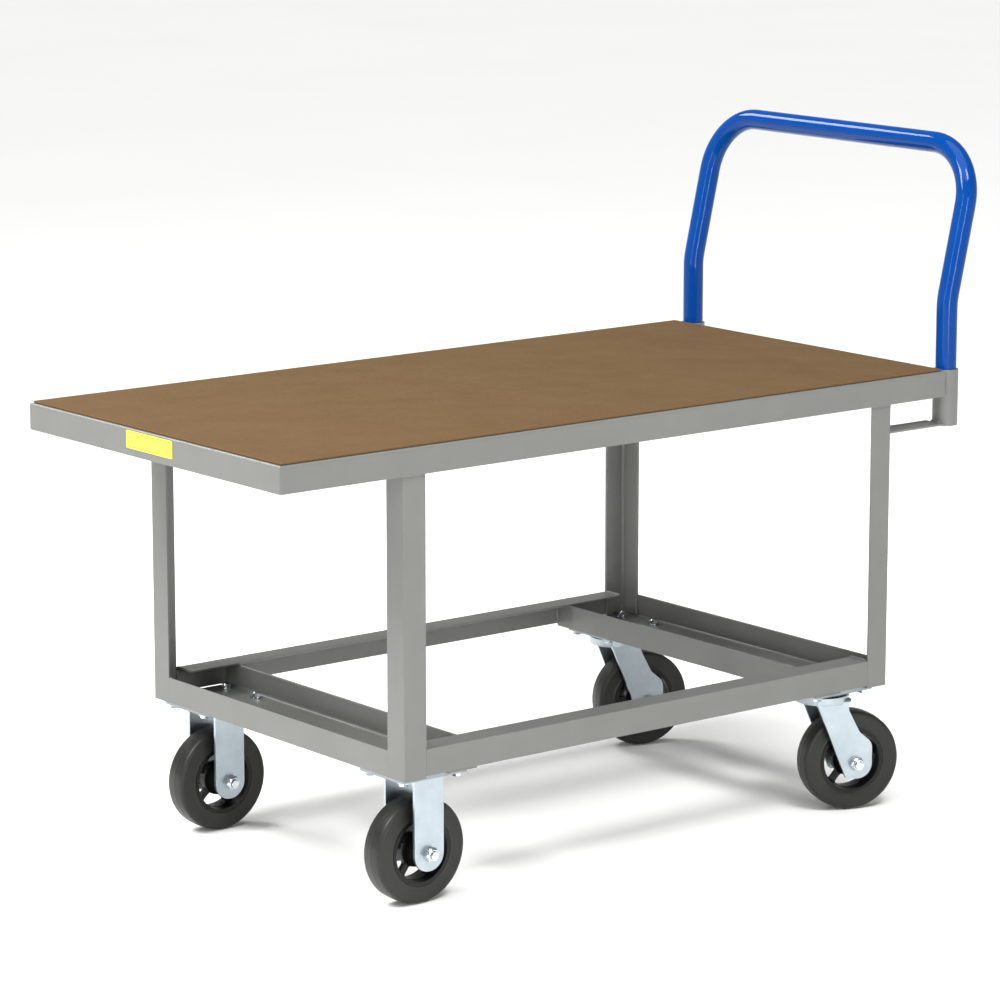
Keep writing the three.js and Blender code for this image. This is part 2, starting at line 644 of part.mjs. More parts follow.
// One opening between two spokes: a ring sector narrowed by half a spoke on each side
function hubWindow(index) {
  const inner = HUB_BOSS_RADIUS + WINDOW_BOSS_MARGIN;
  const outer = RIM_RADIUS - RIM_WALL - WINDOW_RIM_MARGIN;
  const pitch = (2 * Math.PI) / HUB_WINDOWS;
  const innerHalf = pitch / 2 - Math.asin(SPOKE_WIDTH / 2 / inner);
  const outerHalf = pitch / 2 - Math.asin(SPOKE_WIDTH / 2 / outer);
  const middle = pitch * index;
  const sector = new THREE.Shape();
  sector.absarc(0, 0, outer, middle - outerHalf, middle + outerHalf, false);
  sector.absarc(0, 0, inner, middle + innerHalf, middle - innerHalf, true);
  const depth = 3 * HUB_WEB;
  const slab = new THREE.ExtrudeGeometry(sector, { depth, bevelEnabled: false, curveSegments: 3 });
  const basis = new THREE.Matrix4().makeBasis(Y, Z, X);
  return slab.applyMatrix4(basis).translate(-depth / 2, 0, 0);
}

function hubGeometry() {
  const halfRim = TREAD_WIDTH / 2 - TREAD_SHOULDER;
  const rimInside = RIM_RADIUS - RIM_WALL;
  const bore = boreAround(BEARING_RADIUS, SEAT_GAP, ROUND_SIDES);
  const nearSide = [
    [bore, -HUB_LENGTH / 2],
    [HUB_BOSS_RADIUS, -HUB_LENGTH / 2],
    [HUB_BOSS_RADIUS, -HUB_WEB / 2],
    [rimInside, -HUB_WEB / 2],
    [rimInside, -halfRim],
    [RIM_RADIUS, -halfRim],
  ];
  const farSide = nearSide.map(([radius, height]) => [radius, -height]).reverse();
  const windows = Array.from({ length: HUB_WINDOWS }, (_, index) => hubWindow(index));
  return cut(turnedWheel([...nearSide, ...farSide], HUB_SIDES), windows);
}

function bearingGeometry() {
  const inside = AXLE_RADIUS + RUNNING_CLEARANCE;
  const half = HUB_LENGTH / 2;
  const profile = [
    [inside, -half],
    [BEARING_RADIUS, -half],
    [BEARING_RADIUS, half],
    [inside, half],
  ];
  return turnedWheel(profile, ROUND_SIDES);
}

function addWheel(fork, place, trail) {
  const wheel = new THREE.Group();
  wheel.position.set(0, trail, WHEEL_RADIUS);
  addPiece(wheel, `wheel_tyre_${place}`, tyreGeometry(), mouldedRubber);
  addPiece(wheel, `wheel_hub_${place}`, hubGeometry(), blackIron);
  addPiece(wheel, `wheel_bearing_${place}`, bearingGeometry(), bearingSteel);
  const axle = new THREE.Group();
  axle.position.copy(wheel.position);
  addAxle(axle, place);
  fork.add(wheel, axle);
}

function addRigidCaster(cart, side) {
  const place = `front_${side.name}`;
  const caster = new THREE.Group();
  caster.position.set(side.sign * casterX, bayMiddleY(front), 0);
  addPiece(caster, `caster_plate_${place}`, casterPlateGeometry(false), zincPlate);
  addPiece(caster, `caster_fork_${place}`, rigidForkGeometry(), zincPlate);
  addWheel(caster, place, 0);
  cart.add(caster);
}

function addSwivelCaster(cart, side, yaw) {
  const place = `rear_${side.name}`;
  const caster = new THREE.Group();
  caster.position.set(side.sign * casterX, bayMiddleY(rear), 0);
  addPiece(caster, `caster_plate_${place}`, casterPlateGeometry(true), zincPlate);
  addSwivelHead(caster, place);
  const turning = new THREE.Group();
  turning.rotation.z = THREE.MathUtils.degToRad(yaw);
  addPiece(turning, `caster_fork_${place}`, swivelForkGeometry(), zincPlate);
  addWheel(turning, place, CASTER_TRAIL);
  caster.add(turning);
  cart.add(caster);
}

const cart = new THREE.Group();
cart.position.y = -middleY;
addDeck(cart);
addLegs(cart);
addLowerFrame(cart);
addHandleSockets(cart);
addPiece(cart, "push_handle", handleGeometry(), bluePaint);
for (const side of [left, right]) {
  addRigidCaster(cart, side);
}
addSwivelCaster(cart, left, SWIVEL_YAW_LEFT);
addSwivelCaster(cart, right, SWIVEL_YAW_RIGHT);

export default cart;
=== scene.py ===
"""Looks of the platform cart: welded steel angle frame, hardboard deck, push handle and four casters."""

import json
import logging
import math
from collections.abc import Callable, Iterable, Sequence
from dataclasses import dataclass, field
from enum import Enum

import bmesh
import bpy
from mathutils import Matrix, Vector


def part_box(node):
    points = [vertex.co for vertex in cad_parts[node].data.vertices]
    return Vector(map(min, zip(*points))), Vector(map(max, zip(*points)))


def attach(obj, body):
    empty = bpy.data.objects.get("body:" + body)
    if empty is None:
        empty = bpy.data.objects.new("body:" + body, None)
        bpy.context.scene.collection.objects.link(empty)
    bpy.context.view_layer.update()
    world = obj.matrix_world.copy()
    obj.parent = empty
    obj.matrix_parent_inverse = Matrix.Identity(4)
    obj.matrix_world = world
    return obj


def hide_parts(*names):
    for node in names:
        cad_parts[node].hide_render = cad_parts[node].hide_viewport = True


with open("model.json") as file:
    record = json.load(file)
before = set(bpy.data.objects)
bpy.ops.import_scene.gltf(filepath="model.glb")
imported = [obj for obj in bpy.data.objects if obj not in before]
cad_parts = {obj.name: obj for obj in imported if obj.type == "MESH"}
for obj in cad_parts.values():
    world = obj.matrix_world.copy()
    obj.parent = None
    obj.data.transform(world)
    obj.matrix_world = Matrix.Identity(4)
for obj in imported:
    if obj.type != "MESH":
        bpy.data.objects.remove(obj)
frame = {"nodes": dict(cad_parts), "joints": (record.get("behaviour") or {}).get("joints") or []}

log = logging.getLogger("platform_cart")
logging.basicConfig(level=logging.INFO, format="%(message)s")

MM = 0.001
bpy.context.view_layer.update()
AXES = (Vector((1, 0, 0)), Vector((0, 1, 0)), Vector((0, 0, 1)))
X, Y, Z = range(3)
UPRIGHT = Matrix.Rotation(-math.pi / 2, 4, "Y")  # stands a piece made along X on its end
MERGE = 0.002 * MM  # corners closer than this are one
SMOOTH_ANGLE = 35
NORMAL_WEIGHT = 80
OVAL = 0.98  # round ends stop just short of meeting, so that a short flat stays between them
MIX_SHARE, MIX_FIRST, MIX_SECOND, MIX_RESULT = 0, 6, 7, 2  # the colour mixer's sockets

Corners = list[tuple[float, float]]
Outline = list[tuple[float, float, float]]


class Place(Enum):
    """A choice between two places on the cart."""

    @property
    def word(self) -> str:
        """The place's name as it stands in node names."""
        return self.name.lower()


class Side(Place):
    """The cart's two sides, seen from behind the push handle."""

    LEFT = -1
    RIGHT = 1


class End(Place):
    """The cart's two ends; the push handle stands at the rear."""

    FRONT = -1
    REAR = 1


class Pick(Enum):
    """What a selection in edit mode is made of."""

    VERTS = "VERT"
    EDGES = "EDGE"
    FACES = "FACE"


# ---------------------------------------------------------------- modelling by operators


def choose(piece: bpy.types.Object) -> None:
    """Deselects everything, then selects one piece and makes it active."""
    bpy.ops.object.select_all(action="DESELECT")
    piece.select_set(True)
    bpy.context.view_layer.objects.active = piece


def edit(piece: bpy.types.Object) -> None:
    """Opens a piece in edit mode with nothing selected."""
    choose(piece)
    bpy.ops.object.mode_set(mode="EDIT")
    bpy.ops.mesh.select_mode(type="EDGE")
    bpy.ops.mesh.select_all(action="DESELECT")


def leave_edit() -> None:
    """Goes back to object mode."""
    bpy.ops.object.mode_set(mode="OBJECT")


def pick(piece: bpy.types.Object, kind: Pick, test: Callable[[Vector, Vector], bool]) -> int:
    """Selects the verts, edges or faces of a piece in edit mode that pass a test.

    Args:
        piece: the piece that is open in edit mode.
        kind: what to select.
        test: is given a middle point, and a normal, or an edge's direction.

    Returns:
        How many were selected.
    """
    bpy.ops.mesh.select_mode(type=kind.value)
    bpy.ops.mesh.select_all(action="DESELECT")
    mesh = bmesh.from_edit_mesh(piece.data)
    count = 0
    if kind is Pick.VERTS:
        found = [(v, v.co, v.normal) for v in mesh.verts]
    elif kind is Pick.EDGES:
        ends = [(e, e.verts[0].co, e.verts[1].co) for e in mesh.edges]
        found = [(e, (a + b) / 2, (b - a).normalized()) for e, a, b in ends]
    else:
        found = [(f, f.calc_center_median(), f.normal) for f in mesh.faces]
    for item, middle, direction in found:
        if test(middle, direction):
            item.select_set(True)
            count += 1
    bmesh.update_edit_mesh(piece.data)
    return count


def near(a: float, b: float, within: float = 0.05 * MM) -> bool:
    """Whether two lengths are the same to within a small allowance."""
    return abs(a - b) < within


def named(piece: bpy.types.Object, name: str) -> bpy.types.Object:
    """Gives a piece and its mesh the same name."""
    piece.name = name
    piece.data.name = name
    return piece


def primitive(add: Callable[..., set[str]], name: str, **settings: object) -> bpy.types.Object:
    """Adds a primitive with nothing else selected, and puts its size and place into its mesh.

    Args:
        add: the operator that adds it.
        name: the piece's name.
        settings: its size, place and number of faces.

    Returns:
        The new piece.
    """
    bpy.ops.object.select_all(action="DESELECT")
    add(**settings)
    bpy.ops.object.transform_apply(location=True, rotation=True, scale=True)
    return named(bpy.context.object, name)


def start_box(name: str, low: Vector, high: Vector) -> bpy.types.Object:
    """Adds a cube primitive at its real size and place, between two corners."""
    middle, size = (low + high) / 2, high - low
    return primitive(bpy.ops.mesh.primitive_cube_add, name, size=1, location=middle, scale=size)


def start_outline(name: str, corners: Sequence[Vector], filled: bool) -> bpy.types.Object:
    """Adds a circle primitive, moves its corners to their places and opens it in edit mode.

    Args:
        name: the piece's name.
        corners: where each corner goes, in order.
        filled: whether it is a face or only a line.

    Returns:
        The new piece.
    """
    fill = "NGON" if filled else "NOTHING"
    add = bpy.ops.mesh.primitive_circle_add
    piece = primitive(add, name, vertices=len(corners), radius=1, fill_type=fill)
    for vertex, corner in zip(piece.data.vertices, corners):
        vertex.co = corner
    edit(piece)
    return piece


def outward() -> None:
    """Turns every face of the mesh in edit mode outwards."""
    bpy.ops.mesh.select_all(action="SELECT")
    bpy.ops.mesh.normals_make_consistent(inside=False)


def bisect(point: Vector, normal: Vector, clear: bool = False) -> None:
    """Cuts the whole mesh in edit mode with a plane.

    Args:
        point: a point on the plane.
        normal: the plane's normal.
        clear: takes away what lies beyond the plane, and closes the cut.
    """
    bpy.ops.mesh.select_all(action="SELECT")
    bpy.ops.mesh.bisect(plane_co=point, plane_no=normal, clear_outer=clear, use_fill=clear)


def extrude(vector: Vector) -> None:
    """Extrudes the selected faces or edges along a vector."""
    bpy.ops.mesh.extrude_region_move(TRANSFORM_OT_translate={"value": vector})


def bevel_edges(width: float, segments: int) -> None:
    """Rounds the selected edges."""
    bpy.ops.mesh.bevel(offset=width, segments=segments, affect="EDGES", clamp_overlap=True)


def apply_modifier(piece: bpy.types.Object, kind: str, **settings: object) -> None:
    """Adds a modifier to a piece, sets it and applies it.

    Args:
        piece: the piece.
        kind: the modifier's type.
        settings: the modifier's properties.
    """
    choose(piece)
    modifier = piece.modifiers.new(kind.lower(), kind)
    for key, value in settings.items():
        setattr(modifier, key, value)
    bpy.ops.object.modifier_apply(modifier=modifier.name)


def smooth(piece: bpy.types.Object, angle: float) -> bpy.types.Object:
    """Shades a piece smooth across each edge that is flatter than an angle in degrees."""
    choose(piece)
    bpy.ops.object.shade_smooth_by_angle(angle=math.radians(angle))
    return piece


def soften(piece: bpy.types.Object, width: float, segments: int = 2, angle: float = 40) -> bpy.types.Object:
    """Eases every edge sharper than an angle, and shades flats flat and rounds round.

    Args:
        piece: the piece.
        width: the width of the eased edge.
        segments: how many faces it gets.
        angle: in degrees.

    Returns:
        The same piece.
    """
    apply_modifier(
        piece,
        "BEVEL",
        width=width,
        segments=segments,
        limit_method="ANGLE",
        angle_limit=math.radians(angle),
        use_clamp_overlap=True,
    )
    smooth(piece, SMOOTH_ANGLE)
    apply_modifier(piece, "WEIGHTED_NORMAL", keep_sharp=True, weight=NORMAL_WEIGHT)
    return piece


def band(inner: float, outer: float, start: float, stop: float) -> Corners:
    """Lists the corners of a plain ring's section, or of a rod's where it starts at the axis."""
    return [(inner, start), (outer, start), (outer, stop), (inner, stop)]


def oblong(low: tuple[float, float], high: tuple[float, float], corner: float) -> Outline:
    """Lists the corners of a plate's outline that is a rectangle with round corners."""
    spots = (low, (high[0], low[1]), high, (low[0], high[1]))
    return [(first, second, corner) for first, second in spots]


def turned(name: str, profile: Corners, steps: int = 64) -> bpy.types.Object:
    """Spins a closed profile into a ring, or into a solid where the profile touches the axis.

    Args:
        name: the piece's name.
        profile: radius and place along the axis of each corner, in order round the section.
        steps: how many faces go round.

    Returns:
        The new piece, turned about the X axis at the origin.
    """
    piece = start_outline(name, [Vector((along, radius, 0)) for radius, along in profile], filled=False)
    bpy.ops.mesh.select_all(action="SELECT")
    bpy.ops.mesh.spin(steps=steps, angle=2 * math.pi, center=(0, 0, 0), axis=(1, 0, 0))
    bpy.ops.mesh.select_all(action="SELECT")
    bpy.ops.mesh.remove_doubles(threshold=MERGE)
    outward()
    leave_edit()
    return piece


def plate(name: str, outline: Outline, thickness: float, segments: int = 8) -> bpy.types.Object:
    """Makes a flat plate from an outline whose corners are rounded.

    Args:
        name: the piece's name.
        outline: y, z and corner radius of each corner, in order.
        thickness: along +X, from x = 0.
        segments: how many faces a rounded corner gets.

    Returns:
        The new plate, standing in the YZ plane.
    """
    corners = [Vector((0, y, z)) for y, z, _ in outline]
    piece = start_outline(name, corners, filled=True)
    for index, (corner, spot) in enumerate(zip(corners, outline)):
        before = (corners[index - 1] - corner).normalized()
        after = (corners[(index + 1) % len(corners)] - corner).normalized()
        setback = spot[2] / math.tan(before.angle(after) / 2)
        if setback > 0:
            pick(piece, Pick.VERTS, lambda at, _, corner=corner: (at - corner).length < 0.01 * MM)
            bpy.ops.mesh.bevel(offset=setback, segments=segments, affect="VERTICES")
    bpy.ops.mesh.select_mode(type="FACE")
    bpy.ops.mesh.select_all(action="SELECT")
    extrude(Vector((thickness, 0, 0)))
    outward()
    leave_edit()
    return piece


def moved(piece: bpy.types.Object, matrix: Matrix) -> bpy.types.Object:
    """Moves a piece by a matrix and puts the move into its mesh."""
    choose(piece)
    piece.matrix_world = matrix
    bpy.ops.object.transform_apply(location=True, rotation=True, scale=True)
    return piece


def copied(piece: bpy.types.Object, name: str, matrix: Matrix) -> bpy.types.Object:
    """Copies a piece with its own mesh, and moves the copy by a matrix.

    Args:
        piece: what is copied.
        name: the copy's name.
        matrix: the move from the piece to its copy.

    Returns:
        The copy.
    """
    choose(piece)
    bpy.ops.object.duplicate(linked=False)
    return moved(named(bpy.context.object, name), matrix)


def joined(pieces: Sequence[bpy.types.Object], name: str) -> bpy.types.Object:
    """Joins several pieces into the first one's object."""
    choose(pieces[0])
    for piece in pieces:
        piece.select_set(True)
    bpy.ops.object.join()
    return named(bpy.context.object, name)


def cut_with(
    piece: bpy.types.Object, tool: bpy.types.Object, operation: str = "DIFFERENCE"
) -> bpy.types.Object:
    """Cuts a piece with a tool, or keeps or adds what they share, and removes the tool."""
    apply_modifier(piece, "BOOLEAN", operation=operation, object=tool, solver="EXACT")
    bpy.data.objects.remove(tool, do_unlink=True)
    return piece


# ---------------------------------------------------------------- materials


def linear(colour: str) -> tuple[float, float, float, float]:
    """Turns an sRGB hex colour into linear red, green, blue and alpha."""
    parts = [int(colour[i : i + 2], 16) / 255 for i in (1, 3, 5)]
    return (*(p / 12.92 if p <= 0.04045 else ((p + 0.055) / 1.055) ** 2.4 for p in parts), 1.0)


def add_node(
    tree: bpy.types.NodeTree, kind: str, inputs: dict[str | int, object] | None = None, **settings: object
) -> bpy.types.Node:
    """Adds one node to a material with its settings, values and links.

    Args:
        tree: the material's nodes.
        kind: the node's type, without its ShaderNode prefix.
        inputs: input names or numbers, with the value or the socket that each one takes.
        settings: the node's own properties.

    Returns:
        The new node.
    """
    node = tree.nodes.new("ShaderNode" + kind)
    for key, value in settings.items():
        setattr(node, key, value)
    for key, value in (inputs or {}).items():
        if isinstance(value, bpy.types.NodeSocket):
            tree.links.new(value, node.inputs[key])
        else:
            node.inputs[key].default_value = value
    return node


def per_metre(size_mm: float) -> float:
    """The texture scale whose features are about so many millimetres across."""
    return 1 / (size_mm * MM)


@dataclass(frozen=True)
class Finish:
    """What every finish is made from: a colour that drifts, a gloss that drifts and a fine relief."""

    name: str
    colour: str
    dark: str
    roughness: float
    metallic: float = 0.0
    patch_mm: float = 120.0
    relief_mm: float = 1.5
    relief: float = 0.1
    coat: float = 0.0
    coat_roughness: float = 0.1
    sheen_level: float = 0.5
    gloss_drift: float = 0.12
    relief_height: float = 0.2 * MM

    def blank(self) -> tuple[bpy.types.NodeTree, bpy.types.Node, bpy.types.NodeSocket]:
        """Makes an empty material with its shader and its object coordinates.

        Returns:
            The nodes, the shader and the coordinates' socket.
        """
        material = bpy.data.materials.new(self.name)
        material.use_nodes = True
        tree = material.node_tree
        tree.nodes.clear()
        looks = {"Metallic": self.metallic, "Coat Weight": self.coat, "Coat Roughness": self.coat_roughness}
        looks["Specular IOR Level"] = self.sheen_level
        shader = add_node(tree, "BsdfPrincipled", looks)
        add_node(tree, "OutputMaterial", {"Surface": shader.outputs["BSDF"]})
        at = add_node(tree, "TexCoord").outputs["Object"]
        return tree, shader, at

    def make(self) -> bpy.types.Material:
        """Builds the material once, and hands the same one out again later."""
        found = bpy.data.materials.get(self.name)
        if found:
            return found
        tree, shader, at = self.blank()
        self.paint(tree, shader, at)
        return bpy.data.materials[self.name]

    def paint(self, tree: bpy.types.NodeTree, shader: bpy.types.Node, at: bpy.types.NodeSocket) -> None:
        """Links the drifting colour, gloss and relief into the shader.

        Args:
            tree: the material's nodes.
            shader: its shader.
            at: its object coordinates.
        """
        cloud_size = {"Vector": at, "Scale": per_metre(self.patch_mm), "Detail": 5, "Roughness": 0.6}
        patches = add_node(tree, "TexNoise", cloud_size).outputs["Fac"]
        cut = {"Value": patches, "From Min": 0.3, "From Max": 0.7}
        spread = add_node(tree, "MapRange", cut, clamp=True).outputs["Result"]
        colours = {MIX_SHARE: spread, MIX_FIRST: linear(self.dark), MIX_SECOND: linear(self.colour)}
        colour = add_node(tree, "Mix", colours, data_type="RGBA").outputs[MIX_RESULT]
        tree.links.new(colour, shader.inputs["Base Color"])
        self.drift_gloss(tree, shader, patches)
        grain_size = {"Vector": at, "Scale": per_metre(self.relief_mm), "Detail": 3}
        self.raise_relief(tree, shader, add_node(tree, "TexNoise", grain_size).outputs["Fac"])

    def drift_gloss(
        self, tree: bpy.types.NodeTree, shader: bpy.types.Node, pattern: bpy.types.NodeSocket
    ) -> None:
        """Lets the roughness drift by a share with a pattern: lighter is glossier."""
        rough, fine = self.roughness * (1 + self.gloss_drift), self.roughness * (1 - self.gloss_drift)
        gloss = add_node(tree, "MapRange", {"Value": pattern, "To Min": rough, "To Max": fine})
        tree.links.new(gloss.outputs["Result"], shader.inputs["Roughness"])

    def raise_relief(
        self, tree: bpy.types.NodeTree, shader: bpy.types.Node, pattern: bpy.types.NodeSocket
    ) -> None:
        """Gives the surface a fine relief from a pattern."""
        bump = add_node(
            tree, "Bump", {"Height": pattern, "Strength": self.relief, "Distance": self.relief_height}
        )
        tree.links.new(bump.outputs[0], shader.inputs["Normal"])


@dataclass(frozen=True)
class PressedBoard(Finish):
    """Tempered hardboard: wood fibres pressed hot into a smooth brown sheet, speckled and faintly cloudy."""

    gloss_drift: float = 0.2
    relief_height: float = 0.15 * MM
    fleck: str = "#7D664A"
    pit: str = "#43301E"
    # colour of the board's side faces: partly the cut edge's own tone, partly painted shade for the shadowed
    # line along the edge
    edge: str = "#664C33"
    fibre_mm: float = 2.4
    fleck_share: float = 0.55

    def paint(self, tree: bpy.types.NodeTree, shader: bpy.types.Node, at: bpy.types.NodeSocket) -> None:
        """Layers clouds, fibres, flecks and the side faces' colour (partly painted shade), and lets the gloss
        follow them.

        Args:
            tree: the material's nodes.
            shader: its shader.
            at: its object coordinates.
        """
        cloud_size = {"Vector": at, "Scale": per_metre(self.patch_mm), "Detail": 6, "Roughness": 0.65}
        clouds = add_node(tree, "TexNoise", cloud_size).outputs["Fac"]
        fibre_size = {"Vector": at, "Scale": per_metre(self.fibre_mm), "Detail": 4, "Roughness": 0.7}
        fibres = add_node(tree, "TexNoise", fibre_size | {"Distortion": 1.2}).outputs["Fac"]
        facing = add_node(tree, "TexCoord").outputs["Normal"]
        upward = add_node(tree, "SeparateXYZ", {"Vector": facing}).outputs["Z"]
        # Each layer: what drives it, from where to where, how much of it shows, and its colour
        layers = (
            (clouds, 0.35, 0.68, 1, self.colour),
            (fibres, 0.52, 0.78, self.fleck_share, self.fleck),
            (fibres, 0.46, 0.24, self.fleck_share, self.pit),
            # side faces, found by their normal, take the edge colour: partly the cut edge's own tone, partly
            # painted shade
            (upward, 0.9, 0.4, 1, self.edge),
        )
        colour: object = linear(self.dark)
        for driver, start, stop, most, tint in layers:
            cut = {"Value": driver, "From Min": start, "From Max": stop, "To Max": most}
            share = add_node(tree, "MapRange", cut, clamp=True).outputs["Result"]
            colours = {MIX_SHARE: share, MIX_FIRST: colour, MIX_SECOND: linear(tint)}
            colour = add_node(tree, "Mix", colours, data_type="RGBA").outputs[MIX_RESULT]
        tree.links.new(colour, shader.inputs["Base Color"])
        self.drift_gloss(tree, shader, clouds)
        self.raise_relief(tree, shader, fibres)


@dataclass(frozen=True)
class ZincPlating(Finish):
    """Bright zinc electroplated on rolled steel: cool, softly cloudy, with faint roll marks and a spangle."""

    spangle_mm: float = 7.0
    spangle_share: float = 0.35
    mark_mm: float = 0.9
    mark_stretch: tuple[float, float, float] = (1, 1, 0.04)

    def paint(self, tree: bpy.types.NodeTree, shader: bpy.types.Node, at: bpy.types.NodeSocket) -> None:
        """Adds spangle cells and roll marks to the common clouds.

        Args:
            tree: the material's nodes.
            shader: its shader.
            at: its object coordinates.
        """
        super().paint(tree, shader, at)
        cells = add_node(tree, "TexVoronoi", {"Vector": at, "Scale": per_metre(self.spangle_mm)})
        grey = add_node(tree, "RGBToBW", {"Color": cells.outputs["Color"]}).outputs[0]
        share = add_node(tree, "MapRange", {"Value": grey, "To Max": self.spangle_share}).outputs["Result"]
        base = shader.inputs["Base Color"].links[0].from_socket
        colours = {MIX_SHARE: share, MIX_FIRST: base, MIX_SECOND: linear(self.dark)}
        colour = add_node(tree, "Mix", colours, data_type="RGBA").outputs[MIX_RESULT]
        tree.links.new(colour, shader.inputs["Base Color"])
        marks = add_node(tree, "Mapping", {"Vector": at, "Scale": self.mark_stretch}).outputs[0]
        lines = add_node(tree, "TexNoise", {"Vector": marks, "Scale": per_metre(self.mark_mm), "Detail": 2})
        fine, rough = self.roughness * 0.8, self.roughness * 1.25
        spread = add_node(tree, "MapRange", {"Value": lines.outputs["Fac"], "To Min": fine, "To Max": rough})
        tree.links.new(spread.outputs["Result"], shader.inputs["Roughness"])


# Alkyd enamel sprayed on hot-rolled angle: even satin grey, faint cloudiness, fine orange peel
GREY_ENAMEL = Finish("grey_alkyd_enamel_sprayed", "#6C6D69", "#676864", 0.4, relief=0.1, sheen_level=0.45)
# The same enamel over weld metal: a little glossier, with the ripples' grain showing through
WELD_ENAMEL = Finish("grey_enamel_on_weld", "#71726E", "#646561", 0.38, relief=0.35, relief_mm=0.8)
# Powder coat baked on drawn tube: deep, even blue with a wet gloss
BLUE_POWDER = Finish(
    "blue_powder_coat_baked",
    "#003A81",
    "#003679",
    0.06,
    patch_mm=90,
    relief=0.015,
    relief_mm=2.2,
    sheen_level=0.18,
)
# Tempered hardboard, hot pressed: matt brown, speckled with lighter and darker fibres
HARDBOARD = PressedBoard(
    "tempered_hardboard_pressed", "#5A462D", "#56422A", 0.6, patch_mm=110, relief=0.25, sheen_level=0.06
)
# Polyester label film: saturated yellow, slightly glossy
YELLOW_FILM = Finish("yellow_polyester_film", "#F3E33B", "#EBD92F", 0.3, patch_mm=30, relief=0.05, coat=0.3)
# Screen-printed keyline on the same film: dense, nearly matt black
BLACK_INK = Finish("black_screen_ink", "#1A1A18", "#121211", 0.4, patch_mm=20, relief=0.05)
# Zinc electroplate on pressed and rolled steel: pale, cool and softly cloudy
ZINC_PLATE = ZincPlating(
    "bright_zinc_plate_rolled", "#B6C0C6", "#A4AFB6", 0.36, 1.0, patch_mm=45, relief=0.08
)
# The same plating on stamped top plates: duller, and darker, the darkness partly painted shade for the
# shadowed gap under the frame rails
ZINC_STAMPED_PAINTED_SHADE = ZincPlating("dull_zinc_plate_stamped", "#9FA6AA", "#8B9297", 0.5, 1.0, patch_mm=30, relief=0.1)
# The same plating on cold-headed fasteners, brighter and finer
ZINC_BOLT = ZincPlating(
    "bright_zinc_fastener_headed", "#DCE1E4", "#C2CACF", 0.2, 1.0, patch_mm=12, relief=0.08, spangle_mm=3
)
# Ground and hardened bearing steel: clean, fine-grained and bright
BEARING = Finish("bearing_steel_ground", "#A9ACAF", "#8B8E91", 0.22, 1.0, patch_mm=8, relief=0.05)
# Sand-cast grey iron dipped in black paint: grainy, soft sheen
BLACK_IRON = Finish(
    "black_painted_cast_iron",
    "#0A0A09",
    "#060605",
    0.4,
    patch_mm=25,
    relief=0.3,
    relief_mm=1.6,
    sheen_level=0.3,
)
# Rubber moulded on to the hub: dark warm grey, dry sheen
RUBBER = Finish(
    "moulded_on_rubber", "#23231F", "#1D1D1A", 0.4, patch_mm=35, relief=0.2, relief_mm=1.6, sheen_level=0.32
)
# Matt paper sweep under and behind the cart
PALE_PAPER = Finish("pale_paper_sweep", "#FAFAF9", "#F8F8F7", 0.9, patch_mm=900, relief=0.02, sheen_level=0.0)


def settle(
    piece: bpy.types.Object, body: str, finish: Finish, nodes: Iterable[str] = ()
) -> bpy.types.Object:
    """Dresses a finished piece and hands it to the frame.

    Args:
        piece: the finished piece.
        body: the body that it moves with.
        finish: what it is dressed in.
        nodes: the solids that it stands for.

    Returns:
        The same piece.
    """
    piece.data.materials.clear()
    piece.data.materials.append(finish.make())
    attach(piece, body)
    if nodes:
        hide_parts(*nodes)
    log.info("%s rides on %s", piece.name, body)
    return piece


# ---------------------------------------------------------------- the welded frame


@dataclass(frozen=True)
class Bar:
    """One length of angle: which way it runs, and at which end of the other two axes its heel lies."""

    node: str
    run: int
    heel: dict[int, int]
    ends: str = "square"

    @property
    def across(self) -> tuple[int, int]:
        """The axes of the two flanges; the second flange is the one drawn out of the first."""
        first, second = (axis for axis in range(3) if axis != self.run)
        return first, second


